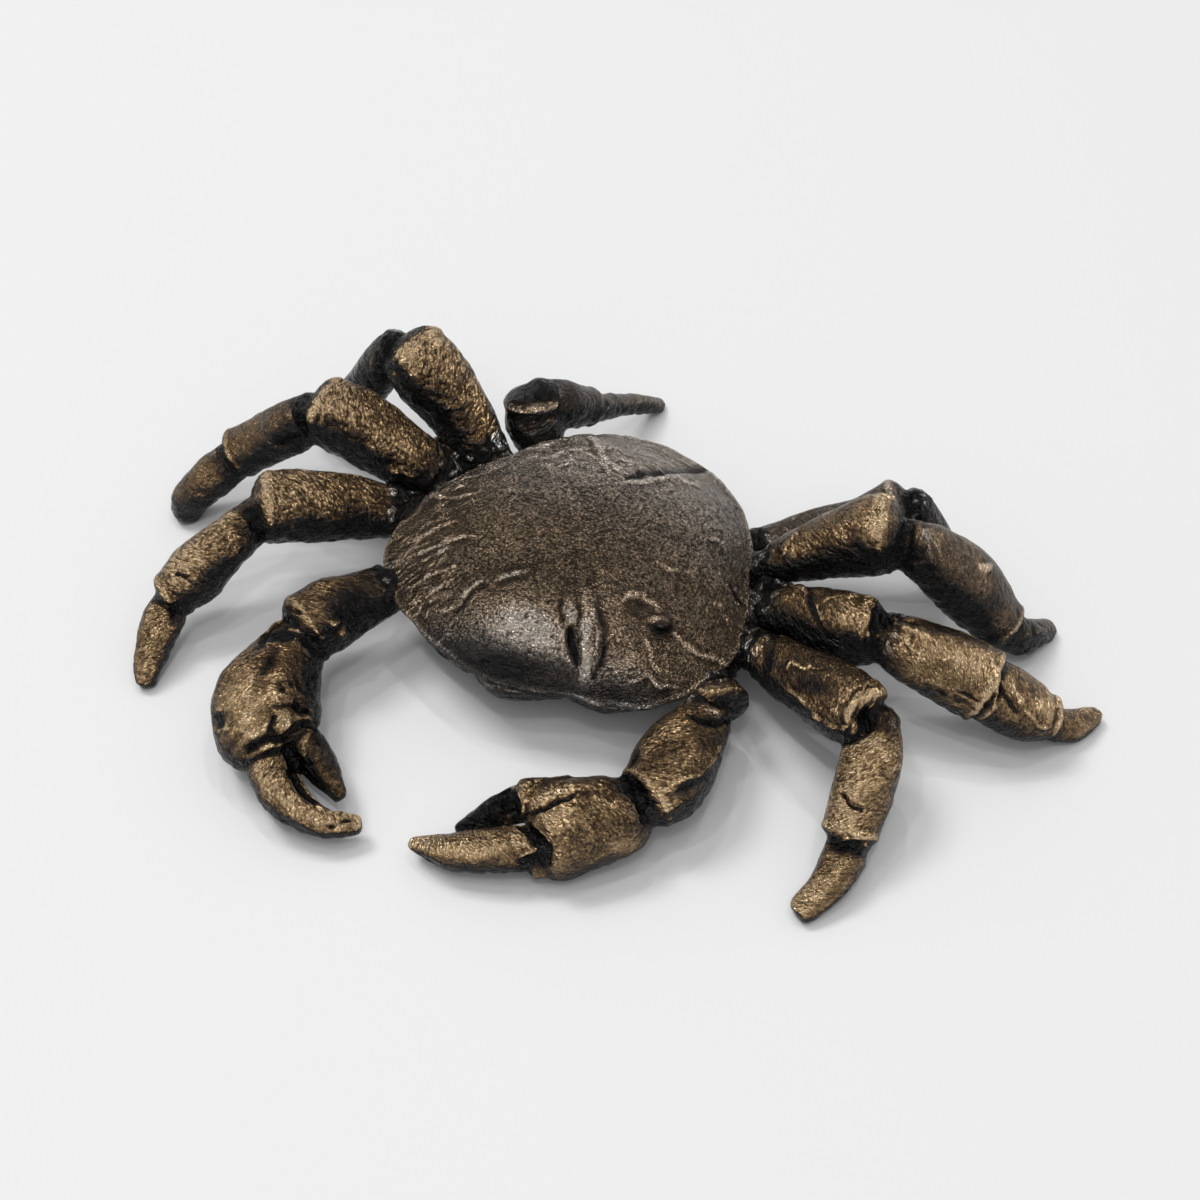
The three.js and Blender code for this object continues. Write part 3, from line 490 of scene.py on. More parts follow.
def layered(points, size, seed, layers=3):
    """Noise with finer noise on it: each layer is turned, half as large and half as strong."""
    total = np.zeros(len(points))
    share = 1.0
    for layer in range(layers):
        total += share * noise(points, size, seed + layer)
        points = points @ LAYER_TURN
        size *= 0.5
        share *= 0.5
    return total / 1.5


def cells(points, size, seed):
    """Distance to the nearest of scattered points, one in each cell, in cells."""
    place = points / size
    base = np.floor(place)
    nearest = np.full(len(points), np.inf)
    for neighbour in NEIGHBOURS:
        cell = base + neighbour
        spot = np.stack([lattice(cell, seed + axis * 7) for axis in range(3)], axis=-1)
        nearest = np.minimum(nearest, np.linalg.norm(cell + 0.5 + SCATTER * spot - place, axis=-1))
    return nearest


def crumple(points, size, seed):
    """Plateaus of about 1 parted by sharp creases down to 0."""
    return 1 - np.exp(-4.0 * np.abs(layered(points, size, seed, 2)))


def waver(points, size):
    """Shifts of up to 0.5 along each axis, which keep lines from running straight."""
    return np.stack([noise(points, size, seed) for seed in (3, 4, 5)], axis=1) * 0.5


def spots(x, y, table):
    """The sum of soft spots: place, length and breadth, turn in degrees, height."""
    total = np.zeros_like(x)
    for (at_x, at_y), (long, broad), turn, height in table:
        c, s = math.cos(math.radians(turn)), math.sin(math.radians(turn))
        along, beside = c * (x - at_x) + s * (y - at_y), c * (y - at_y) - s * (x - at_x)
        total += height * np.exp(-(along / long) ** 2 - (beside / broad) ** 2)
    return total


def ramp(value, low, high):
    """0 below low and 1 above high, with a smooth step between."""
    share = np.clip((value - low) / (high - low), 0, 1)
    return share * share * (3 - 2 * share)


# ------------------------------ closed shells

CURVE_STEP = 0.5
BAR_SIDES, BALL_SIDES = 40, 28
CAP_LEANS = np.linspace(12, 88, 7)
BALL_LEAN = 86
SHELL_COLUMNS, SHELL_ROWS = 220, 60
INNER_SHARE = 0.03  # the innermost ring of the shell, as a share of the rim's radius


def spline(rows, step):
    """A smooth curve through rows of numbers, whose first three are a place, with a point every step."""
    rows = np.array(rows, float)
    ends = np.vstack([2 * rows[0] - rows[1], rows, 2 * rows[-1] - rows[-2]])
    points = []
    for a, b, c, d in zip(ends, ends[1:], ends[2:], ends[3:]):
        count = max(2, int(np.ceil(np.linalg.norm(c[:3] - b[:3]) / step)))
        for t in np.arange(count) / count:
            points.append(0.5 * (2 * b + (c - a) * t + (2 * a - 5 * b + 4 * c - d) * t ** 2
                                 + (3 * b - a - 3 * c + d) * t ** 3))
    points.append(rows[-1])
    return np.array(points)


def frames(curve, first, last):
    """Where a bar runs at each point of its curve, and its sideways and upward directions there."""
    across = np.array([first[1] - last[1], last[0] - first[0], 0.0])
    across /= np.linalg.norm(across)
    ahead = np.gradient(curve[:, :3], axis=0)
    ahead /= np.linalg.norm(ahead, axis=1)[:, None]
    side = across - ahead * (ahead @ across)[:, None]
    side /= np.linalg.norm(side, axis=1)[:, None]
    return ahead, side, np.cross(ahead, side)


def tube(rings):
    """Vertices and faces of a closed skin over rings of points, with a point at each end."""
    count, sides = len(rings), len(rings[0])
    verts = np.vstack([np.vstack(rings), rings[0].mean(axis=0), rings[-1].mean(axis=0)])
    faces = []
    for row in range(count - 1):
        for i in range(sides):
            j = (i + 1) % sides
            faces.append((row * sides + i, row * sides + j, (row + 1) * sides + j, (row + 1) * sides + i))
    for i in range(sides):
        j = (i + 1) % sides
        faces.append((count * sides, j, i))
        faces.append((count * sides + 1, (count - 1) * sides + i, (count - 1) * sides + j))
    return verts, faces


def bar(sections, tall=1.0, keel=0.0, cap=CAP_LENGTH):
    """A closed skin along sections: tall stretches it upward, keel sharpens its top and cap is the length
    of its domed ends, as a share of their radius."""
    curve = spline(sections, CURVE_STEP)
    ahead, side, over = frames(curve, sections[0], sections[-1])
    angle = np.arange(BAR_SIDES) * 2 * math.pi / BAR_SIDES
    sin, cos = np.sin(angle), np.cos(angle)
    boxy = (np.abs(sin) ** SQUARENESS + np.abs(cos) ** SQUARENESS) ** (-1 / SQUARENESS)
    crown = 1 + keel * np.maximum(0, cos) ** 4
    across, upward = (sin * boxy)[:, None], (cos * boxy * tall * crown)[:, None]

    def ring(i, centre, radius):
        return centre + (side[i] * across + over[i] * upward) * radius

    def dome(i, way, leans):
        out = ahead[i] * cap * curve[i, 3]
        return [ring(i, curve[i, :3] + way * out * math.sin(lean), curve[i, 3] * math.cos(lean))
                for lean in map(math.radians, leans)]

    middle = [ring(i, row[:3], row[3]) for i, row in enumerate(curve)]
    return tube(dome(0, -1, CAP_LEANS[::-1]) + middle + dome(len(curve) - 1, 1, CAP_LEANS))


def ball(at, size, turn=0.0):
    """A closed skin over a stretched ball that is turned about its upright axis."""
    rings = []
    angle = np.arange(BALL_SIDES) * 2 * math.pi / BALL_SIDES
    c, s = math.cos(math.radians(turn)), math.sin(math.radians(turn))
    for lean in np.linspace(-BALL_LEAN, BALL_LEAN, BALL_SIDES // 2):
        flat = math.cos(math.radians(lean))
        x, y = np.cos(angle) * flat * size[0], np.sin(angle) * flat * size[1]
        z = np.full(BALL_SIDES, math.sin(math.radians(lean)) * size[2])
        rings.append(np.stack([c * x - s * y, s * x + c * y, z], axis=1) + at)
    return tube(rings)


def rim_radius(angle):
    count = len(RIM_RADII)
    place = (angle / (2 * math.pi) * count) % count
    before = np.floor(place).astype(int)
    blend = (1 - np.cos((place - before) * math.pi)) / 2
    return RIM_RADII[before % count] * (1 - blend) + RIM_RADII[(before + 1) % count] * blend


def rim_share(x, y):
    """The direction from the shell's centre, and the distance from it as a share of the rim's radius."""
    angle = np.arctan2(y - SHELL_CENTRE[1], x - SHELL_CENTRE[0])
    return angle, np.hypot(x - SHELL_CENTRE[0], y - SHELL_CENTRE[1]) / rim_radius(angle)


def shell_height(x, y):
    angle, share = rim_share(x, y)
    share = np.minimum(1, share)
    rim = RIM_HEIGHT + RIM_TILT * share * np.sin(angle)
    return rim + DOME_HEIGHT * (1 - share ** DOME_FLATNESS) + (1 - share ** 8) * spots(x, y, RELIEF)


def carapace():
    """The body's closed skin: rings outward over the dome, then inward under the rim."""
    angle = np.arange(SHELL_COLUMNS) * 2 * math.pi / SHELL_COLUMNS
    radius = rim_radius(angle)

    def ring(share, height=None):
        x = SHELL_CENTRE[0] + share * radius * np.cos(angle)
        y = SHELL_CENTRE[1] + share * radius * np.sin(angle)
        z = shell_height(x, y) if height is None else height + RIM_TILT * share * np.sin(angle)
        return np.stack([x, y, z], axis=1)

    rings = [ring(share) for share in np.linspace(INNER_SHARE, 1, SHELL_ROWS)]
    rings += [ring(max(share, INNER_SHARE), height) for share, height in UNDERSIDE]
    verts, faces = tube(rings)
    return verts, [face[::-1] for face in faces]


# ------------------------------ skins

def add_object(name, data):
    made = bpy.data.objects.new(name, data)
    bpy.context.scene.collection.objects.link(made)
    return made


def read(collection, field, width, kind=np.float32):
    """A field of a mesh's elements, as rows of numbers."""
    values = np.empty(len(collection) * width, kind)
    collection.foreach_get(field, values)
    return values.reshape(-1, width)


class Skin:
    """One closed surface in crab millimetres, made by melting closed shells into each other."""

    def __init__(self, name, shells, voxel):
        verts, faces, start = [], [], 0
        for shell_verts, shell_faces in shells:
            verts.append(shell_verts)
            faces += [tuple(start + i for i in face) for face in shell_faces]
            start += len(shell_verts)
        mesh = bpy.data.meshes.new(name)
        mesh.from_pydata(np.vstack(verts).tolist(), [], faces)
        self.object = add_object(name, mesh)
        melt = self.object.modifiers.new("melt", "REMESH")
        melt.mode = "VOXEL"
        melt.voxel_size = voxel
        graph = bpy.context.evaluated_depsgraph_get()
        self.mesh = bpy.data.meshes.new_from_object(self.object.evaluated_get(graph))
        self.object.modifiers.clear()
        self.object.data = self.mesh
        self.mesh.name = name
        bpy.data.meshes.remove(mesh)
        self.points = read(self.mesh.vertices, "co", 3).astype(float)
        self.edges = read(self.mesh.edges, "vertices", 2, np.int32)
        neighbours = np.bincount(self.edges.ravel(), minlength=len(self.points))
        self.degree = np.maximum(1, neighbours)[:, None]

    def average(self, values, times=1):
        """Each vertex's values, mixed with those of its neighbours."""
        values = values.reshape(len(self.points), -1)
        a, b = self.edges[:, 0], self.edges[:, 1]
        count = len(values)
        for _ in range(times):
            total = np.empty_like(values)
            for column in range(values.shape[1]):
                total[:, column] = (np.bincount(a, values[b, column], count)
                                    + np.bincount(b, values[a, column], count))
            values = 0.5 * values + 0.5 * total / self.degree
        return values

    def smooth(self, times):
        self.points = self.average(self.points, times)

    def place(self, points):
        """Put the mesh's vertices at these points."""
        self.mesh.vertices.foreach_set("co", points.astype(np.float32).ravel())
        self.mesh.update()

    def normals(self):
        self.place(self.points)
        return read(self.mesh.vertex_normals, "vector", 3).astype(float)

    def push(self, amount):
        self.points = self.points + self.normals() * amount[:, None]

    def bulge(self, times):
        """How far each vertex stands out from its smoothed surroundings, in millimetres."""
        return np.einsum("ij,ij->i", self.points - self.average(self.points, times), self.normals())

    def finished(self, **attributes):
        """The object, with these attributes for its patina, inside the CAD box and in the part's frame."""
        for name, values in attributes.items():
            kind, field = ("FLOAT", "value") if values.ndim == 1 else ("FLOAT_VECTOR", "vector")
            layer = self.mesh.attributes.new(name, kind, "POINT")
            layer.data.foreach_set(field, values.astype(np.float32).ravel())
        self.points = np.clip(self.points, LIMIT_LOW, LIMIT_HIGH)
        self.points[:, 2] = np.maximum(self.points[:, 2], 0)
        self.place((self.points + OFFSET) * MM)
        self.mesh.shade_smooth()
        return self.object


# ------------------------------ drawn forms

STROKE_STEP = 3  # points of the picture
GENTLE = 2.2  # how much wider the gentle side of a ledge is than its steep side
FINE_STROKE = 0.5  # half width under which a stroke is broken up
DARKEST_CREASE, BRIGHTEST_LEDGE, SHINE_PER_HEIGHT = -0.7, 0.35, 0.9


def along_line(place, curve):
    """The distance of each place from a drawn line, its share of the way along it, and its side of it."""
    gap = np.full(len(place), np.inf)
    where, beside = np.zeros(len(place)), np.zeros(len(place))
    for i, (a, b) in enumerate(zip(curve, curve[1:])):
        line = b - a
        rel = place - a
        t = np.clip((rel @ line) / max(line @ line, 1e-9), 0, 1)
        d = np.linalg.norm(rel - t[:, None] * line, axis=1)
        closer = d < gap
        gap = np.where(closer, d, gap)
        where = np.where(closer, (i + t) / (len(curve) - 1), where)
        beside = np.where(closer, line[0] * rel[:, 1] - line[1] * rel[:, 0], beside)
    return gap, where, beside


def drawn_forms(skin, name, wobble):
    """The height and the gold that the drawn strokes and patches of a piece add to each vertex."""
    seen = (skin.points + OFFSET) * MM - (TARGET + BACK * DISTANCE)
    scale = PICTURE * LENS / SENSOR / -(seen @ BACK)
    per_mm = scale * MM
    place = np.stack([PICTURE / 2 + (seen @ RIGHT) * scale, PICTURE / 2 - (seen @ UP) * scale], axis=1)
    place += wobble[:, :2] * per_mm[:, None]
    broken = np.clip(0.8 + 0.7 * noise(skin.points, 1.3, 71), 0.25, 1.3)
    facing = ramp(skin.normals() @ BACK, 0.0, 0.3)
    height, gold = np.zeros(len(place)), np.zeros(len(place))
    for corners, width, rise, *shine in DRAWN.get(name, []):
        curve = spline([(x, y, 0) for x, y in zip(corners[::2], corners[1::2])], STROKE_STEP)[:, :2]
        margin = 3 * width * per_mm.max()
        inside = np.all((place > curve.min(axis=0) - margin) & (place < curve.max(axis=0) + margin), axis=1)
        near = np.where(inside & (facing > 0))[0]
        gap, where, beside = along_line(place[near], curve)
        taper = np.sqrt(np.clip(np.sin(where * math.pi), 0, 1)) * 0.75 + 0.25
        gap = gap / per_mm[near] / (width * (0.6 + 0.4 * taper))
        whole = taper * facing[near] * (broken[near] if width < FINE_STROKE else 1.0)
        # a ledge falls steeply to the right of its line, as drawn, and gently to the left
        slope = np.where(beside > 0, 1.0, GENTLE)
        height[near] += rise * whole * np.exp(-(gap / slope) ** 2)
        bright = shine[0] if shine else max(DARKEST_CREASE, min(BRIGHTEST_LEDGE, SHINE_PER_HEIGHT * rise))
        gold[near] += bright * whole * np.exp(-(gap / 0.9) ** 2)
    for (x, y), size, turn, rise, shine in PATCHES.get(name, []):
        share = facing * spots(place[:, 0], -place[:, 1], [((x, -y), size, turn, 1.0)])
        height += rise * share
        gold += shine * share
    return height, gold


# ------------------------------ body

BODY_VOXEL = 0.3
KNOB, KNOB_SIZE = (17.0, -6.0), (1.3, 1.1, 1.0)
FLANK_ANGLE = math.radians(36)
FLANK_TURN = np.array([[math.cos(FLANK_ANGLE), -math.sin(FLANK_ANGLE)],
                       [math.sin(FLANK_ANGLE), math.cos(FLANK_ANGLE)]])
LIP_SHARE, LIP_BREADTH = 0.985, 0.013
# heights of the body's textures, in millimetres
SWELL, STRIATION, BACK_FOLD, LEFT_CREASE, SAND, WRINKLE, RIM_LIP, UNDER_LUMP = (
    0.15, 0.18, 0.22, 0.16, 0.05, 0.32, 0.2, 0.35)
SHELL_GOLD = 0.585


def body_shells():
    shells = [carapace()] + [bar(sections) for sections in MOUTHPARTS] + [bar(FLAP, tall=FLAP_THICKNESS)]
    for side in (-1, 1):
        for y in PLATE_ROWS:
            place = (SHELL_CENTRE[0] + side * PLATE_OFFSET, y, PLATE_HEIGHT)
            shells.append(ball(place, PLATE_SIZE, -side * PLATE_TURN))
    # the knob beside the dimple
    shells.append(ball((*KNOB, float(shell_height(*map(np.array, KNOB)))), KNOB_SIZE))
    return shells


def make_body():
    skin = Skin("crab_body", body_shells(), BODY_VOXEL)
    skin.smooth(2)
    p = skin.points
    x, y, z = p.T
    top = ramp(skin.normals()[:, 2], -0.1, 0.4)
    share = rim_share(x, y)[1]
    wobble = waver(p, 2.0)
    drawn, shine = drawn_forms(skin, "body", 0.5 * wobble)
    lift = SWELL * layered(p, 6.0, 1) + drawn
    # short striations that run along the right flank
    flow = (p[:, :2] @ FLANK_TURN) + wobble[:, :2]
    flank = ramp(-x, 10, 18) * ramp(share, 0.4, 0.75) * top
    stripes = 1 - np.abs(layered(np.stack([0.22 * flow[:, 0], flow[:, 1], 0 * share], axis=1), 1.2, 11, 2))
    stripes = np.clip(stripes, 0, 1) ** 4 * ramp(noise(p, 2.5, 15), -0.6, 0.4)
    lift += flank * STRIATION * (stripes - 0.3)
    # wrinkles along the back and on the left
    back = ramp(y, 13, 21) * ramp(16 - x, 0, 8) * top
    lift += back * BACK_FOLD * (crumple(p * [0.6, 1.1, 0.6] + 1.5 * wobble, 2.2, 21) - 0.6)
    left = ramp(x, 11, 17) * ramp(y, -4, 3) * top
    lift += left * LEFT_CREASE * (crumple(p * [1, 0.6, 1] + wobble, 1.8, 31) - 0.6)
    # sand all over the top, fainter towards the back
    sandy = layered(p * [0.7, 1.0, 1.0] + 0.2 * wobble, 0.8, 41, 2)
    smoother = 1 - 0.6 * ramp(y, 10, 24)
    lift += top * smoother * SAND * sandy
    # where the swelling and the crest are painted bright, they are finely wrinkled, and a painted silvery
    # highlight greys them
    painted_silver = ramp(shine, 0.05, 0.4) * ramp(-y, -3, 0) * ramp(12 - x, 0, 6)
    lift += painted_silver * WRINKLE * (crumple(p * [1, 0.5, 0.7] + wobble, 1.7, 35) - 0.6)
    # a thin lip around the rim, and lumps on the underside
    lift += RIM_LIP * (np.exp(-((share - LIP_SHARE) / LIP_BREADTH) ** 2) * ramp(z, 13.5, 15))
    lift += (1 - top) * UNDER_LUMP * (0.4 - cells(p, 2.4, 51)) * (share < 0.97)
    skin.push(lift)
    normals = skin.normals()
    fine, broad = skin.bulge(3), skin.bulge(40)
    gold = SHELL_GOLD + 0.05 * layered(p, 9.0, 61) + spots(x, y, SHELL_TONES)
    # a painted sheen makes the back of the shell lighter
    gold += 0.12 * ramp(y, 6, 20)
    gold += flank * 0.22 * (stripes - 0.25) + top * smoother * 0.05 * sandy
    gold += np.clip(fine * 2.5, -0.15, 0.2) + np.clip(broad * 0.5, -0.3, 0.25)
    # darker where the shell faces down and beyond its rim: black patina, with painted shade under the shell
    gold *= ramp(normals[:, 2], -0.2, 0.2) * ramp(-share, -1.02, -1.0)
    # greyer towards the back, where the painted sheen is, and towards the front, and where the painted
    # silvery highlight lies
    ends = np.maximum(ramp(y, 0, 18), 1.4 * ramp(-y, 11, 17))
    return skin.finished(gold=np.clip(gold + shine, 0, 1), grain=0.1 + 0.25 * top * smoother,
                         grey=0.05 + 0.45 * np.maximum(ends, painted_silver), flow=p * [0.6, 1.0, 1.0])


# ------------------------------ limbs

LIMB_VOXEL, QUICK_LIMB_VOXEL = 0.27, 0.4
VOXELS = {"claw_right": 0.28, "claw_left": 0.28, "leg_right_4": 0.34, "leg_left_4": 0.34}
BAR_OPTIONS = ("tall", "keel", "cap")
BLOCK = 20000  # vertices compared with a curve at a time
SEGMENT_SPACING = 3  # keeps the grain of one segment apart from that of the next
# heights of the limbs' textures, in millimetres
LIMB_SWELL, LIMB_DENT, LIMB_LIP, CRINKLE, SIDE_LUMP, BLACK_LUMP = 0.3, 0.12, 0.22, 0.16, 0.35, 0.6
# the limbs get a painted highlight where they face this way, up and a little towards the camera and the left
PAINTED_SHEEN_SIDE = np.array([0, 0, 0.95]) - 0.21 * RIGHT - 0.23 * AWAY


def follow(points, segments):
    """Each point's segment, how far along it the point lies, the segment's length, the point's place along,
    beside and over the limb, and how far it lies outside the segment's radius."""
    count = len(points)
    outside = np.full(count, np.inf)
    part = np.zeros(count, int)
    along, length, local = np.zeros(count), np.zeros(count), np.zeros((count, 3))
    reached = 0.0
    for index, (sections, *_) in enumerate(segments):
        curve = spline(sections, CURVE_STEP)
        ahead, side, over = frames(curve, sections[0], sections[-1])
        steps = np.concatenate([[0], np.cumsum(np.linalg.norm(np.diff(curve[:, :3], axis=0), axis=1))])
        for start in range(0, count, BLOCK):
            block = slice(start, start + BLOCK)
            score = np.linalg.norm(points[block, None, :] - curve[None, :, :3], axis=2) - curve[None, :, 3]
            row = np.argmin(score, axis=1)
            value = score[np.arange(len(row)), row]
            chosen = np.where(value < outside[block])[0]
            target, row = chosen + start, row[chosen]
            rel = points[target] - curve[row, :3]
            s = steps[row] + np.einsum("ij,ij->i", rel, ahead[row])
            outside[target] = value[chosen]
            part[target] = index
            along[target] = s
            length[target] = steps[-1]
            local[target] = np.stack([reached + s, np.einsum("ij,ij->i", rel, side[row]),
                                      np.einsum("ij,ij->i", rel, over[row])], axis=1)
        reached += steps[-1] + SEGMENT_SPACING
    return part, along, length, local, outside


def make_limb(name, segments):
    reaches = np.array([options.get("reach", (0.1, 0.7)) for *_, options in segments])
    seams = np.array([options.get("seam", 1.0) for *_, options in segments])
    greys = np.array([options.get("grey", 0.0) for *_, options in segments])
    followed = np.arange(len(segments)) < (2 if name.startswith("claw") else len(segments) - 1)
    shells = [bar(sections, **{key: options[key] for key in BAR_OPTIONS if key in options})
              for sections, *_, options in segments]
    shells += [ball(at, size, turn) for at, size, turn in LUMPS.get(name, [])]
    skin = Skin("crab_" + name, shells, VOXELS.get(name, LIMB_VOXEL))
    skin.smooth(7)
    p = skin.points
    part, along, length, local, outside = follow(p, segments)
    share = along / np.maximum(length, 1e-6)
    table = np.array([[start, end, grain] for _, start, end, grain, _ in segments])
    tone = table[part, 0] + (table[part, 1] - table[part, 0]) * np.clip(share, 0, 1)
    rough = skin.average(table[part, 2], 12)[:, 0]
    tone = skin.average(tone, 6)[:, 0]
    low, high = skin.average(reaches[part], 6).T
    normals = skin.normals()
    hollow = np.clip(-skin.bulge(60) - 0.02, 0, 0.25) / 0.25
    # the start of each segment, beside the lip of the one before, is black and lumpy
    joint = seams[part] * np.exp(-(np.maximum(along - 0.8, 0) / 1.4) ** 2)
    past = ramp(along - length, 0.8, 2.0) * (followed * np.append(seams[1:], 1))[part]
    lip = np.exp(-((along - length - 0.1) / 0.6) ** 2) * followed[part] * (part > 0)
    hip = ramp(outside, 0.8, 2.5) + (part == 0) * ramp(-share, -1.1, -0.6)
    joint = np.clip(np.maximum(joint, hip), 0, 1)
    wobble = waver(p, 1.6)
    seed = sum(ord(letter) for letter in name)
    lift = LIMB_SWELL * layered(p, 6.0, seed) + LIMB_DENT * layered(p, 2.2, seed + 5)
    lump = 0.45 - cells(p + 0.6 * wobble, 1.7, seed)
    lift += joint * (0.5 + 0.7 * hip) * lump + LIMB_LIP * lip
    # short diagonal folds of the grain
    folds = np.stack([0.45 * (0.55 * local[:, 0] - 0.83 * local[:, 1]),
                      0.83 * local[:, 0] + 0.55 * local[:, 1], 0.8 * local[:, 2]], axis=1)
    crinkle = crumple(folds + 0.5 * wobble, 1.1, seed + 9)
    upper = ramp(normals[:, 2], low - 0.4, high)
    lift += rough * (0.2 + 0.8 * upper) * CRINKLE * (crinkle - 0.6)
    lift += (1 - upper) * (1 - joint) * SIDE_LUMP * lump
    # the drawn forms, with lumps in those that are deep and black
    drawn, shine = drawn_forms(skin, name, 0.5 * wobble)
    black = np.maximum(joint, ramp(-shine, 0.4, 0.8) * ramp(drawn, -0.5, -0.2))
    lift += drawn + (black - joint) * BLACK_LUMP * lump
    skin.push(lift)
    normals = skin.normals()
    fine, broad = skin.bulge(3), skin.bulge(40)
    patchy = layered(p, 4.0, seed + 13)
    # a painted highlight raises the gold where a limb faces up and a little towards the camera, and the gold
    # fades down the sides, rubbed on top and darkened by painted shade below
    painted_sheen = ramp(normals @ PAINTED_SHEEN_SIDE, 0.7, 1.0)
    gold = tone * ramp(normals[:, 2] + 0.12 * patchy, low, high) * (0.88 + 0.38 * painted_sheen)
    gold *= (1 - 0.85 * joint) * (1 - 0.9 * hollow) * (1 - 0.9 * past)
    gold *= 1 + 0.2 * patchy
    gold += np.clip(fine * 5, -0.3, 0.35) * ramp(gold, 0.02, 0.35)
    gold += np.clip(broad * 0.5, -0.3, 0.2) * ramp(gold, 0.05, 0.4)
    gold += 0.15 * lip * ramp(gold, 0.1, 0.4) + shine
    # painted silvery glints on the black lumps in places, where they face up
    painted_silver = ramp(noise(p, 1.3, seed + 21) + 4 * fine, 0.0, 0.4) * black * ramp(normals[:, 2], 0.0, 0.5)
    grey = skin.average(greys[part], 12)[:, 0]
    return skin.finished(gold=np.clip(gold + 0.7 * painted_silver, 0, 1), grain=rough,
                         grey=np.clip(grey + painted_silver, 0, 1), flow=folds)


# ------------------------------ materials

BUMP_DISTANCE = 0.0009
SPECULAR = 0.2
LEAST_ROUGH, MOST_ROUGH = 0.13, 0.22


def fill_ramp(ramp_node, stops):
    """Give a colour ramp its stops: place, then red, green and blue."""
    elements = ramp_node.color_ramp.elements
    while len(elements) < len(stops):
        elements.new(0.5)
    for element, (place, rgb) in zip(elements, stops):
        element.position = place
        element.color = (*rgb, 1)


def patina(name, crinkle_size, grain_size, relief, contrast, patchiness, stops):
    """A worn metal, coloured by stops from the black of its hollows to the gold of its rubbed edges; the gold
    attribute that picks the stop holds painted highlights and painted shade as well.
    """
    material = bpy.data.materials.new(name)
    material.use_nodes = True
    nodes, links = material.node_tree.nodes, material.node_tree.links
    nodes.clear()

    def node(kind, inputs, **settings):
        """The outputs of a new node whose inputs are linked to sockets or set to numbers."""
        made = nodes.new(kind)
        for key, value in settings.items():
            setattr(made, key, value)
        for key, value in inputs.items():
            if isinstance(value, bpy.types.NodeSocket):
                links.new(value, made.inputs[key])
            else:
                made.inputs[key].default_value = value
        return made.outputs

    def add(a, b, clamp=False):
        return node("ShaderNodeMath", {0: a, 1: b}, operation="ADD", use_clamp=clamp)[0]

    def minus(a, b):
        return node("ShaderNodeMath", {0: a, 1: b}, operation="SUBTRACT")[0]

    def times(a, b):
        return node("ShaderNodeMath", {0: a, 1: b}, operation="MULTIPLY")[0]

    def map_range(*numbers):
        """The first number carried from the range of the next two to that of the last two."""
        return node("ShaderNodeMapRange", dict(enumerate(numbers)))[0]

    def attribute(label, output="Fac"):
        return node("ShaderNodeAttribute", {}, attribute_name=label)[output]

    def noise_node(scale, detail, roughness, distortion=0.0):
        return node("ShaderNodeTexNoise", {"Vector": flow, "Scale": scale, "Detail": detail,
                                           "Roughness": roughness, "Distortion": distortion})["Fac"]

    gold, grain, flow = attribute("gold"), attribute("grain"), attribute("flow", "Vector")
    crinkle = noise_node(1 / crinkle_size, 3, 0.6, 0.6)
    fine = noise_node(4.5, 2, 0.6)
    patches = noise_node(0.25, 3, 0.6)
    facets = noise_node(1 / 1.3, 1, 0.5)
    sand = node("ShaderNodeTexVoronoi", {"Vector": flow, "Scale": 1 / grain_size})["Distance"]
    sand = minus(0.55, sand)

    mottle = add(times(minus(crinkle, 0.5), times(grain, 0.55)), times(sand, 1.1))
    mottle = times(add(mottle, times(minus(fine, 0.5), 0.7)), times(add(grain, 0.35), contrast))
    mottle = add(mottle, times(minus(patches, 0.5), patchiness))
    level = add(gold, times(mottle, add(gold, 0.06)), clamp=True)

    colour = nodes.new("ShaderNodeValToRGB")
    links.new(level, colour.inputs[0])
    fill_ramp(colour, stops)
    colour = colour.outputs[0]
    plain = node("ShaderNodeRGBToBW", {0: colour})[0]
    greyed = node("ShaderNodeMix", {"Factor": attribute("grey"), "A": colour, "B": plain}, data_type="RGBA")

    metal = map_range(level, 0.25, 0.6, 0.0, 1.0)
    gloss = add(level, times(minus(fine, 0.5), 0.5))
    rough = map_range(gloss, 0.1, 0.7, LEAST_ROUGH, MOST_ROUGH)
    height = add(times(crinkle, add(grain, 0.3)), times(sand, relief))
    height = add(height, times(fine, 0.6 * relief))
    height = add(height, times(facets, times(minus(1.0, metal), 1.6)))
    bump = node("ShaderNodeBump", {"Strength": 1.0, "Distance": BUMP_DISTANCE, "Height": height})[0]
    shader = node("ShaderNodeBsdfPrincipled", {
        "Base Color": greyed["Result"], "Metallic": metal, "Roughness": rough, "Normal": bump,
        "Specular IOR Level": SPECULAR,
    })[0]
    node("ShaderNodeOutputMaterial", {0: shader})
    return material


DARK = patina("dark_bronze", 0.45, 0.3, 0.25, 1.05, 0.25, [
    (0.0, (0.0015, 0.0014, 0.0014)), (0.2, (0.008, 0.0067, 0.0058)), (0.4, (0.042, 0.030, 0.022)),
    (0.6, (0.14, 0.099, 0.065)), (0.8, (0.34, 0.248, 0.16)), (1.0, (0.62, 0.49, 0.36)),
])
RUBBED = patina("rubbed_bronze", 0.62, 0.36, 0.4, 0.6, 0.7, [
    (0.0, (0.0015, 0.0013, 0.0012)), (0.2, (0.007, 0.0057, 0.0048)), (0.4, (0.040, 0.0265, 0.0175)),
    (0.6, (0.15, 0.096, 0.051)), (0.8, (0.37, 0.247, 0.127)), (1.0, (0.66, 0.49, 0.3)),
])

# ------------------------------ pieces

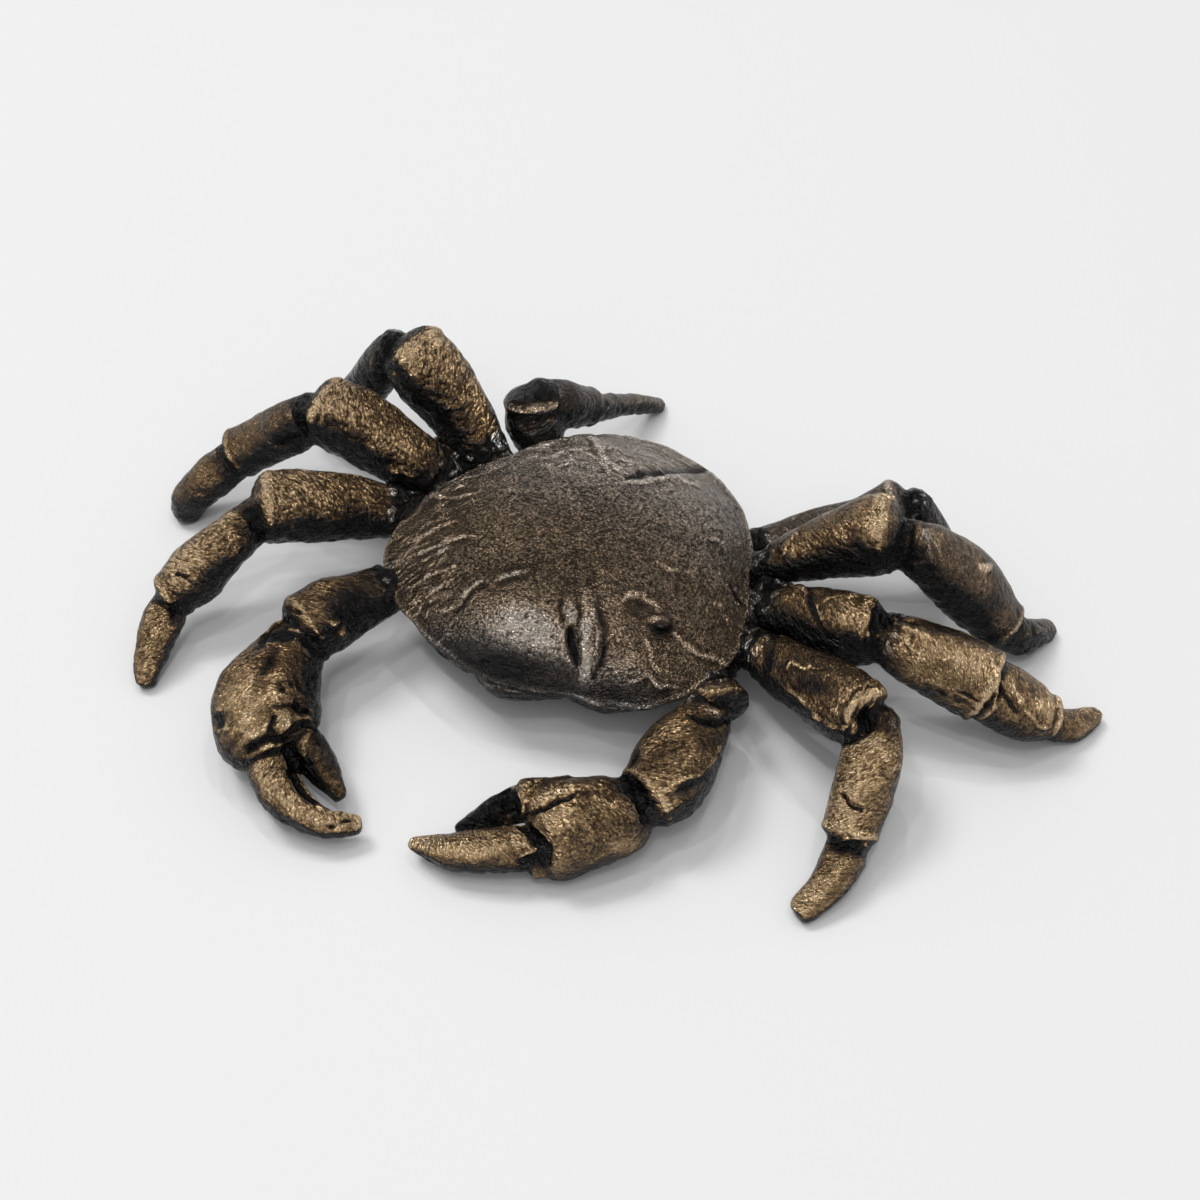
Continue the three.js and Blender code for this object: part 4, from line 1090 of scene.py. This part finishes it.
pieces = [(make_body(), "body", DARK, "dark_bronze")]
for limb, segments in LIMBS.items():
    pieces.append((make_limb(limb, segments), limb, RUBBED, "rubbed_bronze"))
for piece, node_name, material, slot in pieces:
    piece.data.materials.clear()
    piece.data.materials.append(material)
    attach(piece, "root")
    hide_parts(node_name)

# ------------------------------ stage, light and camera

REACH = 1.0
PAPER = {"Base Color": (0.785, 0.785, 0.785, 1), "Roughness": 0.9, "Specular IOR Level": 0.1}
# the studio is dark above a light base, and light overhead: upward part of the direction, lightness
STUDIO = [(0.0, 0.83), (0.06, 0.7), (0.18, 0.06), (0.95, 0.64)]
# metres right of the figure, away from the camera and up, the length of a side, and watts
SPARK_SIZE, SPARK_POWER = 0.05, 2.4
LIGHTS = {
    "key": (-0.78, 0.46, 1.84, 0.6, 15),
    "front": (0.0, -0.9, 1.8, 1.1, 6),
    "spark_a": (-0.5, -0.3, 1.9, SPARK_SIZE, SPARK_POWER),
    "spark_b": (0.35, 0.1, 2.0, SPARK_SIZE, SPARK_POWER),
    "spark_c": (-0.05, -0.75, 1.85, SPARK_SIZE, SPARK_POWER),
    "spark_d": (-0.15, 0.6, 1.9, SPARK_SIZE, SPARK_POWER),
}
LIT_POINT = (0, 0, 0.01)


def aim(obj, place, target):
    obj.location = Vector(place)
    obj.rotation_euler = (Vector(target) - Vector(place)).to_track_quat("-Z", "Y").to_euler()


def softbox(name, right, away, up, size, power):
    data = bpy.data.lights.new(name, "AREA")
    data.shape = "RECTANGLE"
    data.size = data.size_y = size
    data.energy = power
    aim(add_object(name, data), RIGHT * right + AWAY * away + np.array([0, 0, up]), LIT_POINT)


floor_mesh = bpy.data.meshes.new("floor")
floor_corners = [(-REACH, -REACH, 0), (REACH, -REACH, 0), (REACH, REACH, 0), (-REACH, REACH, 0)]
floor_mesh.from_pydata(floor_corners, [], [(0, 1, 2, 3)])
floor = add_object("floor", floor_mesh)
paper = bpy.data.materials.new("paper")
paper.use_nodes = True
for label, value in PAPER.items():
    paper.node_tree.nodes["Principled BSDF"].inputs[label].default_value = value
floor_mesh.materials.append(paper)

world = bpy.data.worlds.new("studio")
bpy.context.scene.world = world
world.use_nodes = True
sky, sky_links = world.node_tree.nodes, world.node_tree.links
upward = sky.new("ShaderNodeSeparateXYZ")
sky_links.new(sky.new("ShaderNodeTexCoord").outputs["Generated"], upward.inputs[0])
lightness = sky.new("ShaderNodeValToRGB")
sky_links.new(upward.outputs["Z"], lightness.inputs[0])
fill_ramp(lightness, [(height, (light, light, light)) for height, light in STUDIO])
sky_links.new(lightness.outputs[0], sky["Background"].inputs["Color"])

for light_name, values in LIGHTS.items():
    softbox(light_name, *values)

camera_data = bpy.data.cameras.new("camera")
camera_data.lens = LENS
camera_data.sensor_width = SENSOR
camera = add_object("camera", camera_data)
aim(camera, TARGET + BACK * DISTANCE, TARGET)
bpy.context.scene.camera = camera

bpy.context.scene.view_settings.view_transform = "Standard"
bpy.context.scene.view_settings.look = "None"
